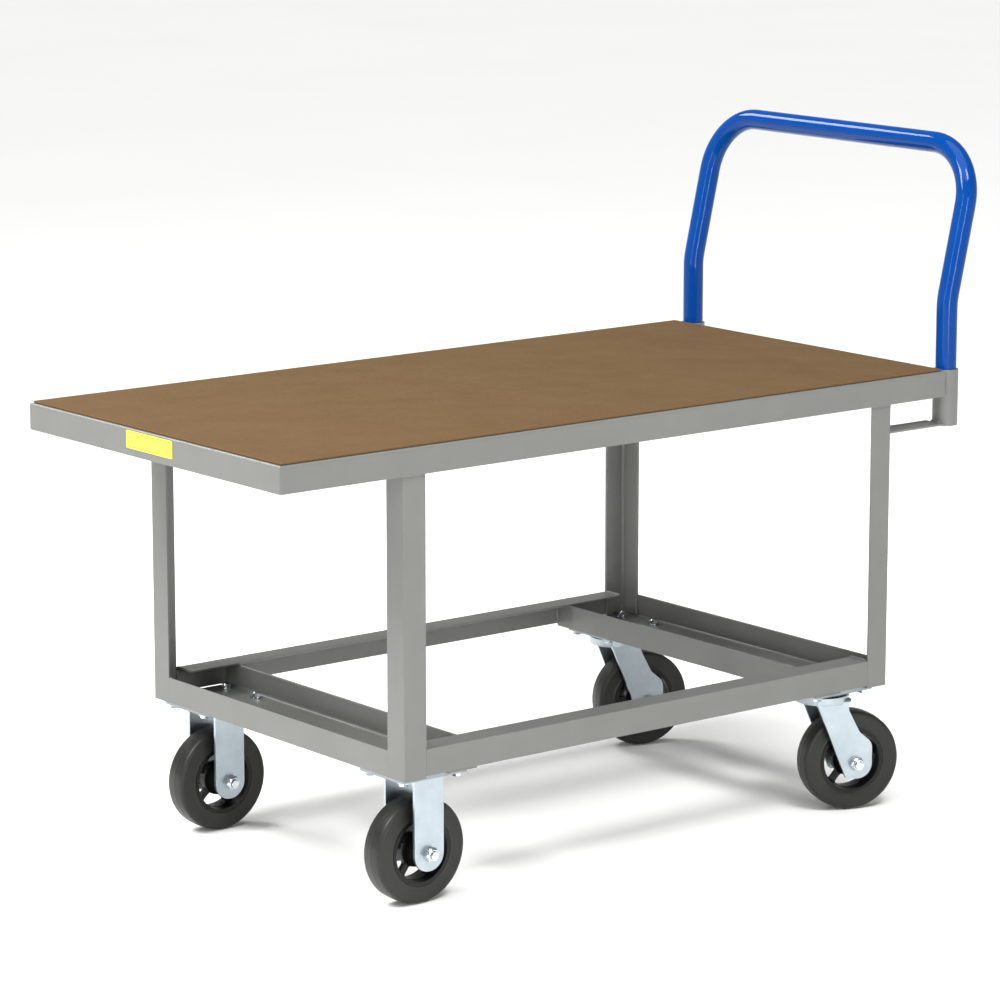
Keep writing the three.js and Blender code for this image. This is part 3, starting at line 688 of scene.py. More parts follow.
@dataclass
class AngleFrame:
    """Hot-rolled angle, 1/8 in thick, sawn, mitred and welded into the deck rim, legs and rails."""

    wall: float = 3.2 * MM
    heel_radius: float = 1.1 * MM
    rim_radius: float = 2.9 * MM
    root_radius: float = 4.5 * MM
    toe_radius: float = 2.2 * MM
    corner_radius: float = 4 * MM
    sawn_edge: float = 0.35 * MM
    gap: float = 0.3 * MM
    cross_extra: float = 12.7 * MM
    notch_reach: float = 60 * MM
    notch_below: float = 5 * MM
    notch_past: float = 2 * MM

    def bars(self) -> list[Bar]:
        """Lists every length of angle in the frame."""
        found = []
        for side in Side:
            out = side.value
            found.append(Bar(f"deck_apron_{side.word}", Y, {X: out, Z: 1}, "mitred"))
            found.append(Bar(f"side_rail_{side.word}", Y, {X: out, Z: 1}))
        for end in End:
            out = end.value
            found.append(Bar(f"deck_apron_{end.word}", X, {Y: out, Z: 1}, "mitred"))
            found.append(Bar(f"deck_cross_{end.word}", X, {Y: out, Z: 1}))
            found.append(Bar(f"end_rail_{end.word}", X, {Y: out, Z: -1}, "coped"))
            found.append(Bar(f"caster_cross_{end.word}", X, {Y: -out, Z: -1}))
            for side in Side:
                found.append(Bar(f"leg_{end.word}_{side.word}", Z, {X: side.value, Y: out}))
        return found

    def span(self, bar: Bar) -> tuple[Vector, Vector]:
        """The bar's box; a caster cross angle's bottom flange reaches 2 in towards the end rail."""
        low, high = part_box(bar.node)
        if bar.node.startswith("caster_cross"):
            toe = low if bar.heel[Y] == 1 else high
            toe[Y] -= bar.heel[Y] * self.cross_extra
        return low, high

    def roll(self, bar: Bar) -> bpy.types.Object:
        """Makes one length of angle: a flat flange first, the second flange drawn out of its strip.

        Args:
            bar: which length.

        Returns:
            The rolled bar with its round root and toes.
        """
        low, high = self.span(bar)
        first, second = bar.across
        heel = Vector(high[i] if bar.heel.get(i) == 1 else low[i] for i in range(3))
        inward = {axis: -bar.heel[axis] for axis in bar.across}
        depth = high[second] - low[second]
        flange_low, flange_high = low.copy(), high.copy()
        inner = heel[second] + inward[second] * self.wall
        flange_low[second], flange_high[second] = sorted((heel[second], inner))
        piece = start_box(f"{bar.node}_angle", flange_low, flange_high)
        edit(piece)
        root = heel[first] + inward[first] * self.wall
        at_root = heel.copy()
        at_root[first] = root
        bisect(at_root, AXES[first])
        upright = [low[bar.run], high[bar.run]]
        if bar.ends == "coped":
            upright = self.cope(bar, heel)
        middle = sum(upright) / 2

        def on_strip(at: Vector, normal: Vector) -> bool:
            """Whether a face is the strip by the heel that the second flange is drawn from."""
            strip = abs(at[first] - heel[first]) < self.wall and near(at[bar.run], middle, 1 * MM)
            return strip and normal[second] * inward[second] > 0.9

        pick(piece, Pick.FACES, on_strip)
        extrude(AXES[second] * inward[second] * (depth - self.wall))
        self.round_edges(piece, bar, heel, inward)
        if bar.ends == "mitred":
            self.mitre(bar, heel, inward, low, high)
        leave_edit()
        return self.notch(piece, bar, heel) if bar.ends == "coped" else piece

    def notch(self, piece: bpy.types.Object, bar: Bar, heel: Vector) -> bpy.types.Object:
        """Cuts the flat flange back where it slips in behind the outer flange of each leg.

        Args:
            piece: the rolled end rail.
            bar: which length.
            heel: a corner on the heel.

        Returns:
            The same piece.
        """
        end = bar.node.split("_")[-1]
        inside = -bar.heel[Y]
        reach = sorted((heel[Y] - inside * self.notch_past, heel[Y] + inside * (self.wall + self.gap)))
        for side in Side:
            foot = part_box(f"leg_{end}_{side.word}")[0][Z]
            edge = inner_edge(end, side.word) - side.value * self.gap
            span = sorted((edge, edge + side.value * self.notch_reach))
            low = Vector((span[0], reach[0], foot - self.notch_below))
            high = Vector((span[1], reach[1], foot + self.notch_reach))
            piece = cut_with(piece, start_box("notch", low, high))
        return piece

    def cope(self, bar: Bar, heel: Vector) -> list[float]:
        """Cuts the flat flange where the upright one stops short between the legs.

        Args:
            bar: which length.
            heel: a corner on the heel.

        Returns:
            Where the upright flange starts and stops.
        """
        stops = []
        for side in Side:
            stop = inner_edge(bar.node.split("_")[-1], side.word) - side.value * self.gap
            point = heel.copy()
            point[bar.run] = stop
            bisect(point, AXES[bar.run])
            stops.append(stop)
        return stops

    def round_edges(self, piece: bpy.types.Object, bar: Bar, heel: Vector, inward: dict[int, int]) -> None:
        """Rounds the root, the two toes and the heel, as the rolls leave them.

        Args:
            piece: the bar, open in edit mode.
            bar: which length.
            heel: a corner on the heel.
            inward: each flange's direction from the heel, as a sign.
        """
        first, second = bar.across
        rim = bar.node.startswith("deck_apron")

        def along(place_first: float, place_second: float) -> Callable[[Vector, Vector], bool]:
            """Makes the test for edges that run along the bar at a place in its section."""

            def test(at: Vector, direction: Vector) -> bool:
                """Whether an edge is one of those."""
                across_ok = near(at[first], place_first) and near(at[second], place_second)
                return across_ok and abs(direction[bar.run]) > 0.99

            return test

        inner_first = heel[first] + inward[first] * self.wall
        inner_second = heel[second] + inward[second] * self.wall
        low, high = self.span(bar)
        tip_first = high[first] if inward[first] == 1 else low[first]
        tip_second = high[second] if inward[second] == 1 else low[second]
        pick(piece, Pick.EDGES, along(inner_first, inner_second))
        bevel_edges(self.root_radius, 5)
        for spot in ((tip_first, inner_second), (inner_first, tip_second)):
            pick(piece, Pick.EDGES, along(*spot))
            bevel_edges(self.toe_radius, 4)
        pick(piece, Pick.EDGES, along(heel[first], heel[second]))
        bevel_edges(self.rim_radius if rim else self.heel_radius, 4)

    def mitre(self, bar: Bar, heel: Vector, inward: dict[int, int], low: Vector, high: Vector) -> None:
        """Saws both ends at 45 degrees and grinds the deck's outside corners round.

        Args:
            bar: which length.
            heel: a corner on the heel.
            inward: each flange's direction from the heel, as a sign.
            low: the bar's lowest corner.
            high: its highest corner.
        """
        level = next(axis for axis in bar.across if axis != Z)
        into = AXES[level] * inward[level]
        deck_low, deck_high = deck_rim()
        for sign, stop in ((-1, low), (1, high)):
            point = heel.copy()
            point[bar.run] = stop[bar.run]
            run = AXES[bar.run] * sign
            bisect(point, (into + run).normalized(), clear=True)
            corner = heel.copy()
            corner[bar.run] = deck_high[bar.run] if sign == 1 else deck_low[bar.run]
            centre = corner + (into - run) * self.corner_radius
            for degrees in (18, 45, 72):
                turn = math.radians(degrees)
                normal = -into * math.cos(turn) + run * math.sin(turn)
                bisect(centre + normal * self.corner_radius, normal, clear=True)

    def build(self) -> None:
        """Rolls and dresses every bar, and dresses the steel deck sheet."""
        for bar in self.bars():
            piece = soften(self.roll(bar), self.sawn_edge, 2, angle=42)
            settle(piece, "cart", GREY_ENAMEL, [bar.node])
        sheet = frame["nodes"]["deck_sheet"]
        sheet.data.materials.clear()
        sheet.data.materials.append(GREY_ENAMEL.make())


def inner_edge(end: str, side: str) -> float:
    """Where a leg's flange ends towards the cart's middle, along X."""
    low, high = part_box(f"leg_{end}_{side}")
    return (high if side == Side.LEFT.word else low)[X]


def deck_rim() -> tuple[Vector, Vector]:
    """The lowest and highest corners of the deck's steel rim."""
    low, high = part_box("deck_apron_front")
    _, rear_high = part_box("deck_apron_rear")
    return low, Vector((high[X], rear_high[Y], high[Z]))


# ---------------------------------------------------------------- deck board and label


@dataclass
class DeckBoard:
    """The hardboard sheet on the deck, and the plain label on the front of the rim."""

    eased: float = 1.1 * MM
    label_corner: float = 2 * MM
    keyline: float = 0.9 * MM
    keyline_inset: float = 2.2 * MM
    ink: float = 0.03 * MM

    def build(self) -> None:
        """Makes the board and the label."""
        low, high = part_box("hardboard_panel")
        board = start_box("hardboard_sheet", low, high)
        settle(soften(board, self.eased, 2), "cart", HARDBOARD, ["hardboard_panel"])
        self.build_label()

    def build_label(self) -> None:
        """Cuts the label film with round corners, and prints a plain keyline round its edge."""
        low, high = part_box("label_plate")
        film = self.film("label_film", low, high, self.label_corner)
        settle(film, "cart", YELLOW_FILM, ["label_plate"])
        proud = Vector((0, self.ink, 0))
        edge = Vector((self.keyline_inset, 0, self.keyline_inset))
        line = Vector((self.keyline, 0, self.keyline))
        outer = self.film("label_keyline", low + edge - proud, high - edge, self.label_corner * 0.7)
        low, high = low + edge + line - 2 * proud, high - edge - line + proud
        inner = self.film("label_keyline_middle", low, high, self.label_corner * 0.5)
        settle(cut_with(outer, inner), "cart", BLACK_INK)

    def film(self, name: str, low: Vector, high: Vector, corner: float) -> bpy.types.Object:
        """Makes a thin sheet with round corners that faces -Y.

        Args:
            name: the piece's name.
            low: its lowest corner.
            high: its highest corner.
            corner: its corner radius.

        Returns:
            The sheet.
        """
        outline = oblong((low[X], low[Z]), (high[X], high[Z]), corner)
        sheet = plate(name, outline, high[Y] - low[Y], 5)
        turn = Matrix(((0, 1, 0, 0), (1, 0, 0, low[Y]), (0, 0, 1, 0), (0, 0, 0, 1)))
        moved(sheet, turn)
        edit(sheet)
        outward()
        leave_edit()
        return sheet


# ---------------------------------------------------------------- push handle and sockets


@dataclass
class PushHandle:
    """Drawn steel tube bent to an inverted U: upright legs, a lean, two round corners and a crossbar."""

    radius: float = 15.875 * MM
    wall: float = 2.1 * MM
    corner_radius: float = 88 * MM
    lean_radius: float = 110 * MM
    lean_degrees: float = 13.2
    lean_rise: float = 102 * MM
    sides: int = 40
    corner_steps: int = 28
    lean_steps: int = 10
    merge: float = 0.01 * MM
    eased: float = 0.4 * MM

    def build(self) -> None:
        """Draws the tube from its left foot over the crossbar to its right foot."""
        low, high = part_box("push_handle")
        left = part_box("handle_socket_left")
        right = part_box("handle_socket_right")
        foot = Vector(((left[0][X] + left[1][X]) / 2, (left[0][Y] + left[1][Y]) / 2, low[Z]))
        span = (right[0][X] + right[1][X]) / 2 - foot[X]
        lean = math.radians(self.lean_degrees)
        deck_top = deck_rim()[1][Z]
        lean_start = deck_top + self.lean_rise - self.lean_radius * math.tan(lean / 2)
        up = Vector((0, math.sin(lean), math.cos(lean)))
        lean_centre = Vector((foot[X], foot[Y] + self.lean_radius, lean_start))
        lean_end = lean_centre + Vector((0, -math.cos(lean), math.sin(lean))) * self.lean_radius
        corner_z = high[Z] - self.radius - self.corner_radius * up[Z]
        straight = (corner_z - lean_end[Z]) / up[Z]
        add = bpy.ops.mesh.primitive_circle_add
        tube = primitive(add, "push_handle_tube", vertices=self.sides, radius=self.radius, location=foot)
        edit(tube)
        bpy.ops.mesh.select_all(action="SELECT")
        extrude(Vector((0, 0, lean_start - foot[Z])))
        self.bend(self.lean_steps, -lean, lean_centre, AXES[X])
        extrude(up * straight)
        start = lean_end + up * straight
        normal = AXES[X].cross(up)
        self.bend(self.corner_steps, math.pi / 2, start + AXES[X] * self.corner_radius, -normal)
        extrude(AXES[X] * (span - 2 * self.corner_radius))
        end = start + AXES[X] * (span - self.corner_radius)
        self.bend(self.corner_steps, math.pi / 2, end, -normal)
        extrude(-up * straight)
        self.bend(self.lean_steps, lean, lean_centre + AXES[X] * span, AXES[X])
        extrude(Vector((0, 0, foot[Z] - lean_start)))
        bpy.ops.mesh.select_all(action="SELECT")
        bpy.ops.mesh.remove_doubles(threshold=self.merge)
        outward()
        leave_edit()
        apply_modifier(tube, "SOLIDIFY", thickness=self.wall, offset=-1)
        settle(soften(tube, self.eased), "handle", BLUE_POWDER, ["push_handle"])

    def bend(self, steps: int, angle: float, centre: Vector, axis: Vector) -> None:
        """Sweeps the tube's open end round a bend; the operator counts its angle the other way round."""
        bpy.ops.mesh.spin(steps=steps, angle=-angle, center=centre, axis=axis)


@dataclass
class HandleSockets:
    """Tube sockets welded to the rear of the rim, each propped by a flat bar from the leg."""

    bore: float = 16.4 * MM
    floor: float = 3.2 * MM
    drain: float = 4 * MM
    cup_edge: float = 0.5 * MM
    bar_edge: float = 0.7 * MM
    sides: int = 72

    def build(self) -> None:
        """Makes both sockets and their flat bars."""
        for side in Side:
            node = f"handle_socket_{side.word}"
            low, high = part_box(node)
            radius = (high[Y] - low[Y]) / 2
            tall = high[Z] - low[Z]
            outside = [(self.drain, 0), (radius, 0), (radius, tall)]
            inside = [(self.bore, tall), (self.bore, self.floor), (self.drain, self.floor)]
            cup = soften(turned(f"{node}_cup", outside + inside, self.sides), self.cup_edge)
            middle = (low + high) / 2
            stand = Matrix.Translation((middle[X], middle[Y], low[Z])) @ UPRIGHT
            settle(moved(cup, stand), "cart", GREY_ENAMEL, [node])
            brace = f"socket_brace_{side.word}"
            bar = start_box(f"{brace}_flat", *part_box(brace))
            settle(soften(bar, self.bar_edge, 3), "cart", GREY_ENAMEL, [brace])


# ---------------------------------------------------------------- fasteners


@dataclass
class HexFasteners:
    """Cold-headed hexagon bolts and nuts, modelled along X with their bearing face at x = 0."""

    chamfer: float = 0.16
    domed: float = 0.5 * MM
    pitch: float = 1.4 * MM
    thread_depth: float = 0.55 * MM
    sides: int = 48
    thread_sides: int = 32

    def hexagon(
        self, name: str, across_corners: float, height: float, both: bool = False
    ) -> bpy.types.Object:
        """Makes a hexagon whose corners are turned off at its outer face, or at both.

        Args:
            name: the piece's name.
            across_corners: its size from corner to corner.
            height: from x = 0 outwards.
            both: whether both faces are chamfered, as on a nut.

        Returns:
            The hexagon.
        """
        radius = across_corners / 2
        prism = primitive(bpy.ops.mesh.primitive_cylinder_add, name, vertices=6, radius=radius, depth=height)
        moved(prism, Matrix.Translation((height / 2, 0, 0)) @ Matrix.Rotation(math.pi / 2, 4, "Y"))
        flat = radius * math.cos(math.pi / 6)
        slope = (radius - flat) * 1.1
        drop = radius * self.chamfer
        outer_end = [(flat + slope, height - drop), (flat * 0.96, height), (0, height + self.domed)]
        inner_end = [(0, -2 * self.domed), (radius + slope, 0)]
        if both:
            inner_end = [(0, -self.domed), (flat * 0.98, 0), (flat + slope, drop)]
        cone = turned(f"{name}_cone", inner_end + outer_end, self.sides)
        return cut_with(prism, cone, "INTERSECT")

    def thread(self, name: str, radius: float, start: float, stop: float) -> bpy.types.Object:
        """Makes a threaded stretch as close rings, with a chamfered tip.

        Args:
            name: the piece's name.
            radius: over the crests.
            start: where it starts along X.
            stop: where it ends.

        Returns:
            The thread.
        """
        count = max(1, round((stop - start) / self.pitch))
        step = (stop - start) / count
        root = radius - self.thread_depth
        crests = []
        for index in range(count):
            at = start + index * step
            crests += [(root, at), (radius, at + step / 2)]
        last = radius - self.thread_depth * 1.6
        return turned(name, [(0, start), *crests, (last, stop), (0, stop)], self.thread_sides)


# ---------------------------------------------------------------- casters


@dataclass
class Wheel:
    """A spoked cast hub with rubber moulded on to its rim, modelled about the X axis at the origin."""

    radius: float = 76.2 * MM
    half_width: float = 19.05 * MM
    shoulder: float = 5.5 * MM
    rim_radius: float = 49 * MM
    rim_wall: float = 5.5 * MM
    half_rim: float = 18.9 * MM
    half_hub: float = 28.5 * MM
    boss_radius: float = 18.5 * MM
    half_web: float = 3.6 * MM
    spokes: int = 5
    spoke_width: float = 9.5 * MM
    window_inner: float = 25.5 * MM
    bearing_radius: float = 11.1 * MM
    axle_radius: float = 6.4 * MM
    rollers: int = 12
    race_wall: float = 1 * MM
    race_depth: float = 2 * MM
    race_edge: float = 0.2 * MM

    def arc(self, radius: float, along: float, size: float, start: float, stop: float) -> Corners:
        """Lists the corners of an arc in a profile.

        Args:
            radius: the arc's middle, out from the axle.
            along: the arc's middle, along the axle.
            size: the arc's own radius.
            start: first angle in degrees, from outwards towards +X.
            stop: last angle.

        Returns:
            Radius and place along the axle of each corner.
        """
        steps = 5
        turns = [math.radians(start + (stop - start) * i / steps) for i in range(steps + 1)]
        return [(radius + size * math.cos(t), along + size * math.sin(t)) for t in turns]

    def tyre(self) -> bpy.types.Object:
        """Makes the rubber: slightly crowned tread, round shoulders, dished sides and a lip at the rim."""
        seat = self.rim_radius + 0.15 * MM
        crown = self.radius - 0.6 * MM
        flank = self.half_width - 0.5 * MM
        near_side = [
            (seat, self.half_rim - 0.8 * MM),
            *reversed(self.arc(seat + 2.2 * MM, self.half_width - 1.2 * MM, 1.2 * MM, 60, 170)),
            (seat + 5.5 * MM, flank),
            (crown - 8 * MM, flank),
            *reversed(self.arc(crown - self.shoulder, flank - self.shoulder, self.shoulder, 8, 82)),
            (self.radius - 0.15 * MM, 6 * MM),
            (self.radius, 0.6 * MM),
        ]
        ridge = [(self.radius + 0.12 * MM, 0)]
        far_side = [(r, -a) for r, a in reversed(near_side)]
        return smooth(turned("tyre", [*near_side, *ridge, *far_side], 128), 50)

    def hub(self) -> bpy.types.Object:
        """Casts the hub: boss, web and rim band, with round-cornered windows between its spokes."""
        inside = self.rim_radius - self.rim_wall
        near_side = [
            (self.bearing_radius + 0.1 * MM, self.half_hub),
            (self.boss_radius - 2 * MM, self.half_hub),
            (self.boss_radius, self.half_hub - 2 * MM),
            (self.boss_radius + 2 * MM, self.half_web + 9 * MM),
            (self.window_inner - 1.5 * MM, self.half_web + 2 * MM),
            (self.window_inner + 2 * MM, self.half_web),
            (inside - 3 * MM, self.half_web),
            (inside, self.half_web + 4 * MM),
            (inside + 1 * MM, self.half_rim),
            (self.rim_radius, self.half_rim),
        ]
        far_side = [(r, -a) for r, a in reversed(near_side)]
        casting = turned("hub", [*near_side, *far_side], 96)
        for index in range(self.spokes):
            casting = cut_with(casting, self.window(index))
        return soften(casting, 0.9 * MM, 3, angle=50)

    def window(self, index: int) -> bpy.types.Object:
        """Makes the cutter for one opening between two spokes."""
        inner = self.window_inner
        outer = self.rim_radius - self.rim_wall - 0.8 * MM
        pitch = 2 * math.pi / self.spokes
        middle = math.pi / 2 + pitch * (index + 0.5)
        outer_half = pitch / 2 - math.asin(self.spoke_width / 2 / outer)
        inner_half = pitch / 2 - math.asin(self.spoke_width / 2 / inner)
        turns = [(outer, middle + outer_half * k / 3, 0) for k in (-2, -1, 0, 1, 2)]
        ends = [(outer, middle - outer_half, 4 * MM), *turns, (outer, middle + outer_half, 4 * MM)]
        shares = (1, 0.33, -0.33, -1)
        back = [(inner, middle + inner_half * k, 1.2 * MM if abs(k) == 1 else 0) for k in shares]
        outline = [(r * math.cos(t), r * math.sin(t), corner) for r, t, corner in [*ends, *back]]
        cutter = plate(f"window_{index}", outline, 2 * self.half_width, 5)
        return moved(cutter, Matrix.Translation((-self.half_width, 0, 0)))

    def bearing(self) -> bpy.types.Object:
        """Makes the bearing's sleeve and washers, with its rollers between them."""
        half = self.half_hub
        bore = self.axle_radius + 0.1 * MM
        inner, outer = self.axle_radius + self.race_wall, self.bearing_radius - self.race_wall
        floor = half - self.race_depth
        groove = [(outer, half), (outer, floor), (inner, floor), (inner, half), (bore, half)]
        profile = [(bore, -half), (self.bearing_radius, -half), (self.bearing_radius, half), *groove]
        sleeve = soften(turned("bearing", profile, 48), self.race_edge)
        reach = (inner + outer) / 2
        shape = {"vertices": 12, "radius": (outer - inner) / 2 * 0.9, "depth": self.race_depth}
        shape["rotation"] = (0, math.pi / 2, 0)
        rollers = []
        for index in range(self.rollers):
            turn = 2 * math.pi * index / self.rollers
            at = (half - self.race_depth * 0.7, reach * math.cos(turn), reach * math.sin(turn))
            roller = primitive(bpy.ops.mesh.primitive_cylinder_add, "roller", location=at, **shape)
            rollers.append(soften(roller, self.race_edge, 1))
        return joined([sleeve, *rollers], "bearing")


@dataclass
class Casters:
    """Two rigid casters at the front and two swivel casters at the rear."""

    strap: float = 50.8 * MM
    wall: float = 4.8 * MM
    bend: float = 16 * MM
    half_outside: float = 36 * MM
    lobe_radius: float = 27.4 * MM
    lobe_rise: float = 9.3 * MM
    crown_radius: float = 39 * MM
    axle_radius: float = 6.35 * MM
    axle_corners: float = 22 * MM
    bolt_radius: float = 4 * MM
    bolt_corners: float = 14.4 * MM
    bolt_spacing: tuple[float, float] = (76.2 * MM, 92.1 * MM)
    slot_travel: float = 9.5 * MM
    slot_radius: float = 5.2 * MM
    plate_corner: float = 5 * MM
    balls: int = 22
    phase: dict[str, float] = field(
        default_factory=lambda: {
            "front_left": -12.0,
            "front_right": 0.0,
            "rear_left": 22.0,
            "rear_right": -2.0,
        }
    )
    axle_head: float = 8 * MM
    axle_tip: float = 14 * MM
    axle_play: float = 0.3 * MM
    thrust_inner: float = 28.6 * MM
    thrust_radius: float = 15 * MM
    crown_bore: float = 8.4 * MM
    trim_reach: float = 200 * MM
    lip: float = 4.2 * MM
    skirt: float = 2.2 * MM
    washer: float = 1.5 * MM
    washer_radius: float = 9 * MM
    seat: float = 0.1 * MM
    frame_wall: float = 3.5 * MM
    bolt_head: float = 4.6 * MM
    bolt_nut: float = 6.6 * MM
    bolt_tip: float = 11 * MM
    kingpin_corners: float = 27 * MM
    race_inner: float = 23 * MM
    cage_width: float = 6 * MM
    sides: int = 48

    def build(self) -> None:
        """Models each shape once and places it at every caster."""
        wheel = Wheel()
        shapes = {"tyre": wheel.tyre(), "hub": wheel.hub(), "bearing": wheel.bearing()}
        shapes |= self.axle_shapes()
        rigid = self.rigid_fork()
        swivel = self.swivel_fork()
        for side in Side:
            self.place_wheel(shapes, End.FRONT, side, "cart")
            self.place_wheel(shapes, End.REAR, side, f"rear_{side.word}_swivel")
            self.place_fork(rigid, End.FRONT, side)
            self.place_fork(swivel, End.REAR, side)
            for end in End:
                self.build_plate(end, side)
            self.build_swivel_head(side)
        for shape in [*shapes.values(), rigid, swivel]:
            bpy.data.objects.remove(shape, do_unlink=True)

    def joint(self, name: str) -> tuple[Vector, Vector]:
        """Looks a joint up in the frame.

        Args:
            name: the joint's name.

        Returns:
            A point on its axis, and the axis.
        """
        found = next(joint for joint in frame["joints"] if joint["name"] == name)
        return Vector(found["pos_m"]), Vector(found["axis"])

    def hub_place(self, end: End, side: Side) -> Matrix:
        """The move from the origin to a wheel's middle, with X along its axle."""
        at, along = self.joint(f"{end.word}_{side.word}_wheel_spin")
        return Matrix.Translation(at) @ Matrix.Rotation(math.atan2(along[Y], along[X]), 4, "Z")

    def place_wheel(self, shapes: dict[str, bpy.types.Object], end: End, side: Side, carrier: str) -> None:
        """Places one wheel with its axle.

        Args:
            shapes: the shapes to copy.
            end: the cart's end.
            side: the cart's side.
            carrier: the body that holds the axle.
        """
        where = f"{end.word}_{side.word}"
        move = self.hub_place(end, side)
        body = f"{where}_wheel"
        looks = (
            ("tyre", "tyre_rubber", RUBBER),
            ("hub", "hub_iron", BLACK_IRON),
            ("bearing", "bearing_steel", BEARING),
        )
        spin = move @ Matrix.Rotation(math.radians(self.phase[where]), 4, "X")
        for word, slot, finish in looks:
            piece = copied(shapes[word], f"{where}_{word}", spin)
            settle(piece, body, finish, [f"wheel_{word}_{where}"])
        for word in ("bolt", "nut"):
            piece = copied(shapes[word], f"{where}_axle_{word}", move)
            settle(piece, carrier, ZINC_BOLT, [f"axle_{word}_{where}"])
        washers = copied(shapes["washers"], f"{where}_thrust_washers", move)
        settle(washers, carrier, ZINC_BOLT)

    def axle_shapes(self) -> dict[str, bpy.types.Object]:
        """Makes the axle bolt, its lock nut and the thrust washers, about the X axis at the origin.

        Returns:
            The shapes by word.
        """
        fasteners = HexFasteners()
        radius = self.axle_radius
        bore = radius + self.seat
        face = self.half_outside + self.axle_play
        head = fasteners.hexagon("axle_head", self.axle_corners, self.axle_head)
        moved(head, Matrix.Translation((-face, 0, 0)) @ Matrix.Rotation(math.pi, 4, "Z"))
        shank = turned("axle_shank", band(0, radius, -face - self.axle_head / 2, face), self.sides)
        thread = fasteners.thread("axle_thread", radius, face, face + self.axle_tip)
        bolt = smooth(joined([soften(head, 0.3 * MM), shank, thread], "axle_bolt"), 28)
        nut = fasteners.hexagon("axle_nut", self.axle_corners, 8.6 * MM, both=True)
        wide, narrow = self.axle_corners * 0.41, self.axle_corners * 0.37
        lock = [(bore, 8 * MM), (wide, 8 * MM), (wide, 9.6 * MM), (narrow, 11 * MM), (bore, 11 * MM)]
        drill = turned("axle_nut_bore", band(0, radius, -1 * MM, 20 * MM), self.sides)
        nut = cut_with(cut_with(nut, turned("axle_collar", lock, self.sides), "UNION"), drill)
        moved(soften(nut, 0.25 * MM), Matrix.Translation((face, 0, 0)))
        outer = self.half_outside - self.wall - 0.2 * MM
        rings = []
        for sign in (-1, 1):
            span = sorted((sign * self.thrust_inner, sign * outer))
            section = band(radius + 0.2 * MM, self.thrust_radius, *span)
            rings.append(soften(turned("washer", section, self.sides), 0.3 * MM))
        return {"bolt": bolt, "nut": nut, "washers": joined(rings, "washers")}

    def fork_blank(self, name: str, top: float, reach: tuple[float, float]) -> bpy.types.Object:
        """Bends a wide strip into an upturned U, before its sides are trimmed.

        Args:
            name: the piece's name.
            top: the height of its top face above the axle.
            reach: how far it runs along Y.

        Returns:
            The U, with the axle's middle at z = 0.
        """
        half = self.half_outside
        low = Vector((-half, reach[0], top - self.wall))
        piece = start_box(name, low, Vector((half, reach[1], top)))
        edit(piece)
        inside = half - self.wall
        for sign in (-1, 1):
            bisect(Vector((sign * inside, 0, 0)), AXES[X])
        pick(piece, Pick.FACES, lambda at, normal: normal[Z] < -0.9 and abs(at[X]) > inside)
        extrude(Vector((0, 0, -top - self.strap)))
        for x, z, radius in ((half, top, self.bend), (inside, top - self.wall, self.bend - self.wall)):

            def on_bend(at: Vector, along: Vector, x: float = x, z: float = z) -> bool:
                """Whether an edge is one of the two that the strip is bent at."""
                return near(abs(at[X]), x) and near(at[Z], z) and abs(along[Y]) > 0.9

            pick(piece, Pick.EDGES, on_bend)
            bevel_edges(radius, 9)
        leave_edit()
        return piece

    def heights(self) -> tuple[float, float, float]:
        """The axle's height, the rigid fork's top and the swivel fork's top, above the floor."""
        axle = self.joint("front_left_wheel_spin")[0][Z]
        return axle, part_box("caster_fork_front_left")[1][Z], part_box("caster_fork_rear_left")[1][Z]

    def rigid_fork(self) -> bpy.types.Object:
        """Makes the rigid fork: a straight strap with round ends about the axle."""
        axle, top, _ = self.heights()
        blank = self.fork_blank("rigid_fork", top - axle, (-self.strap, self.strap))
        half = self.strap / 2
        far = self.trim_reach
        outline = [(-half, -half, half * OVAL), (half, -half, half * OVAL), (half, far, 0), (-half, far, 0)]
        trim = moved(plate("rigid_trim", outline, far, 14), Matrix.Translation((-far / 2, 0, 0)))
        return soften(cut_with(blank, trim, "INTERSECT"), 0.7 * MM)

    def swivel_fork(self) -> bpy.types.Object:
        """Makes the swivel fork: raked straps with a round lobe about the axle, under a dished crown."""
        axle, _, top = self.heights()
        spin, pin = self.joint("rear_left_wheel_spin")[0], self.joint("rear_left_swivel_turn")[0]
        trail = (spin - pin).to_2d().length
        blank = self.fork_blank("swivel_fork", top - axle, (-2.5 * self.strap, 1.5 * self.strap))
        rise = top - axle
        lobe = self.lobe_radius
        outline = [
            (-trail - 0.47 * self.strap, rise + 1 * MM, 0),
            (-0.31 * self.strap, -0.46 * self.strap, 5 * MM),
            (0.50 * self.strap, -0.46 * self.strap, 0.44 * self.strap),
            (0.50 * self.strap, self.lobe_rise + lobe * 0.78, 0.30 * self.strap),
            (0.10 * self.strap, self.lobe_rise + lobe * 1.42, 16 * MM),
            (-0.32 * self.strap, rise - 10 * MM, 16 * MM),
            (-0.14 * self.strap, rise + 1 * MM, 0),
        ]
        far = self.trim_reach
        trim = moved(plate("swivel_trim", outline, far, 12), Matrix.Translation((-far / 2, 0, 0)))
        straps = cut_with(blank, trim, "INTERSECT")
        under, over = rise - self.wall, rise + self.lip
        bead, rim, wall = under - self.skirt, self.crown_radius + 2 * MM, self.crown_radius - 0.8 * MM
        profile = [(self.crown_bore, under), (rim - 6 * MM, under), (rim - 5 * MM, bead)]
        profile += [(rim - 1 * MM, bead), (rim, under), (rim, over)]
        profile += [(wall, over), (wall, rise), (self.crown_bore, rise)]
        stand = Matrix.Translation((0, -trail, 0)) @ UPRIGHT
        crown = moved(turned("swivel_crown", profile, 72), stand)
        bore = moved(turned("swivel_bore", band(0, self.crown_bore, -far, 2 * far), self.sides), stand)
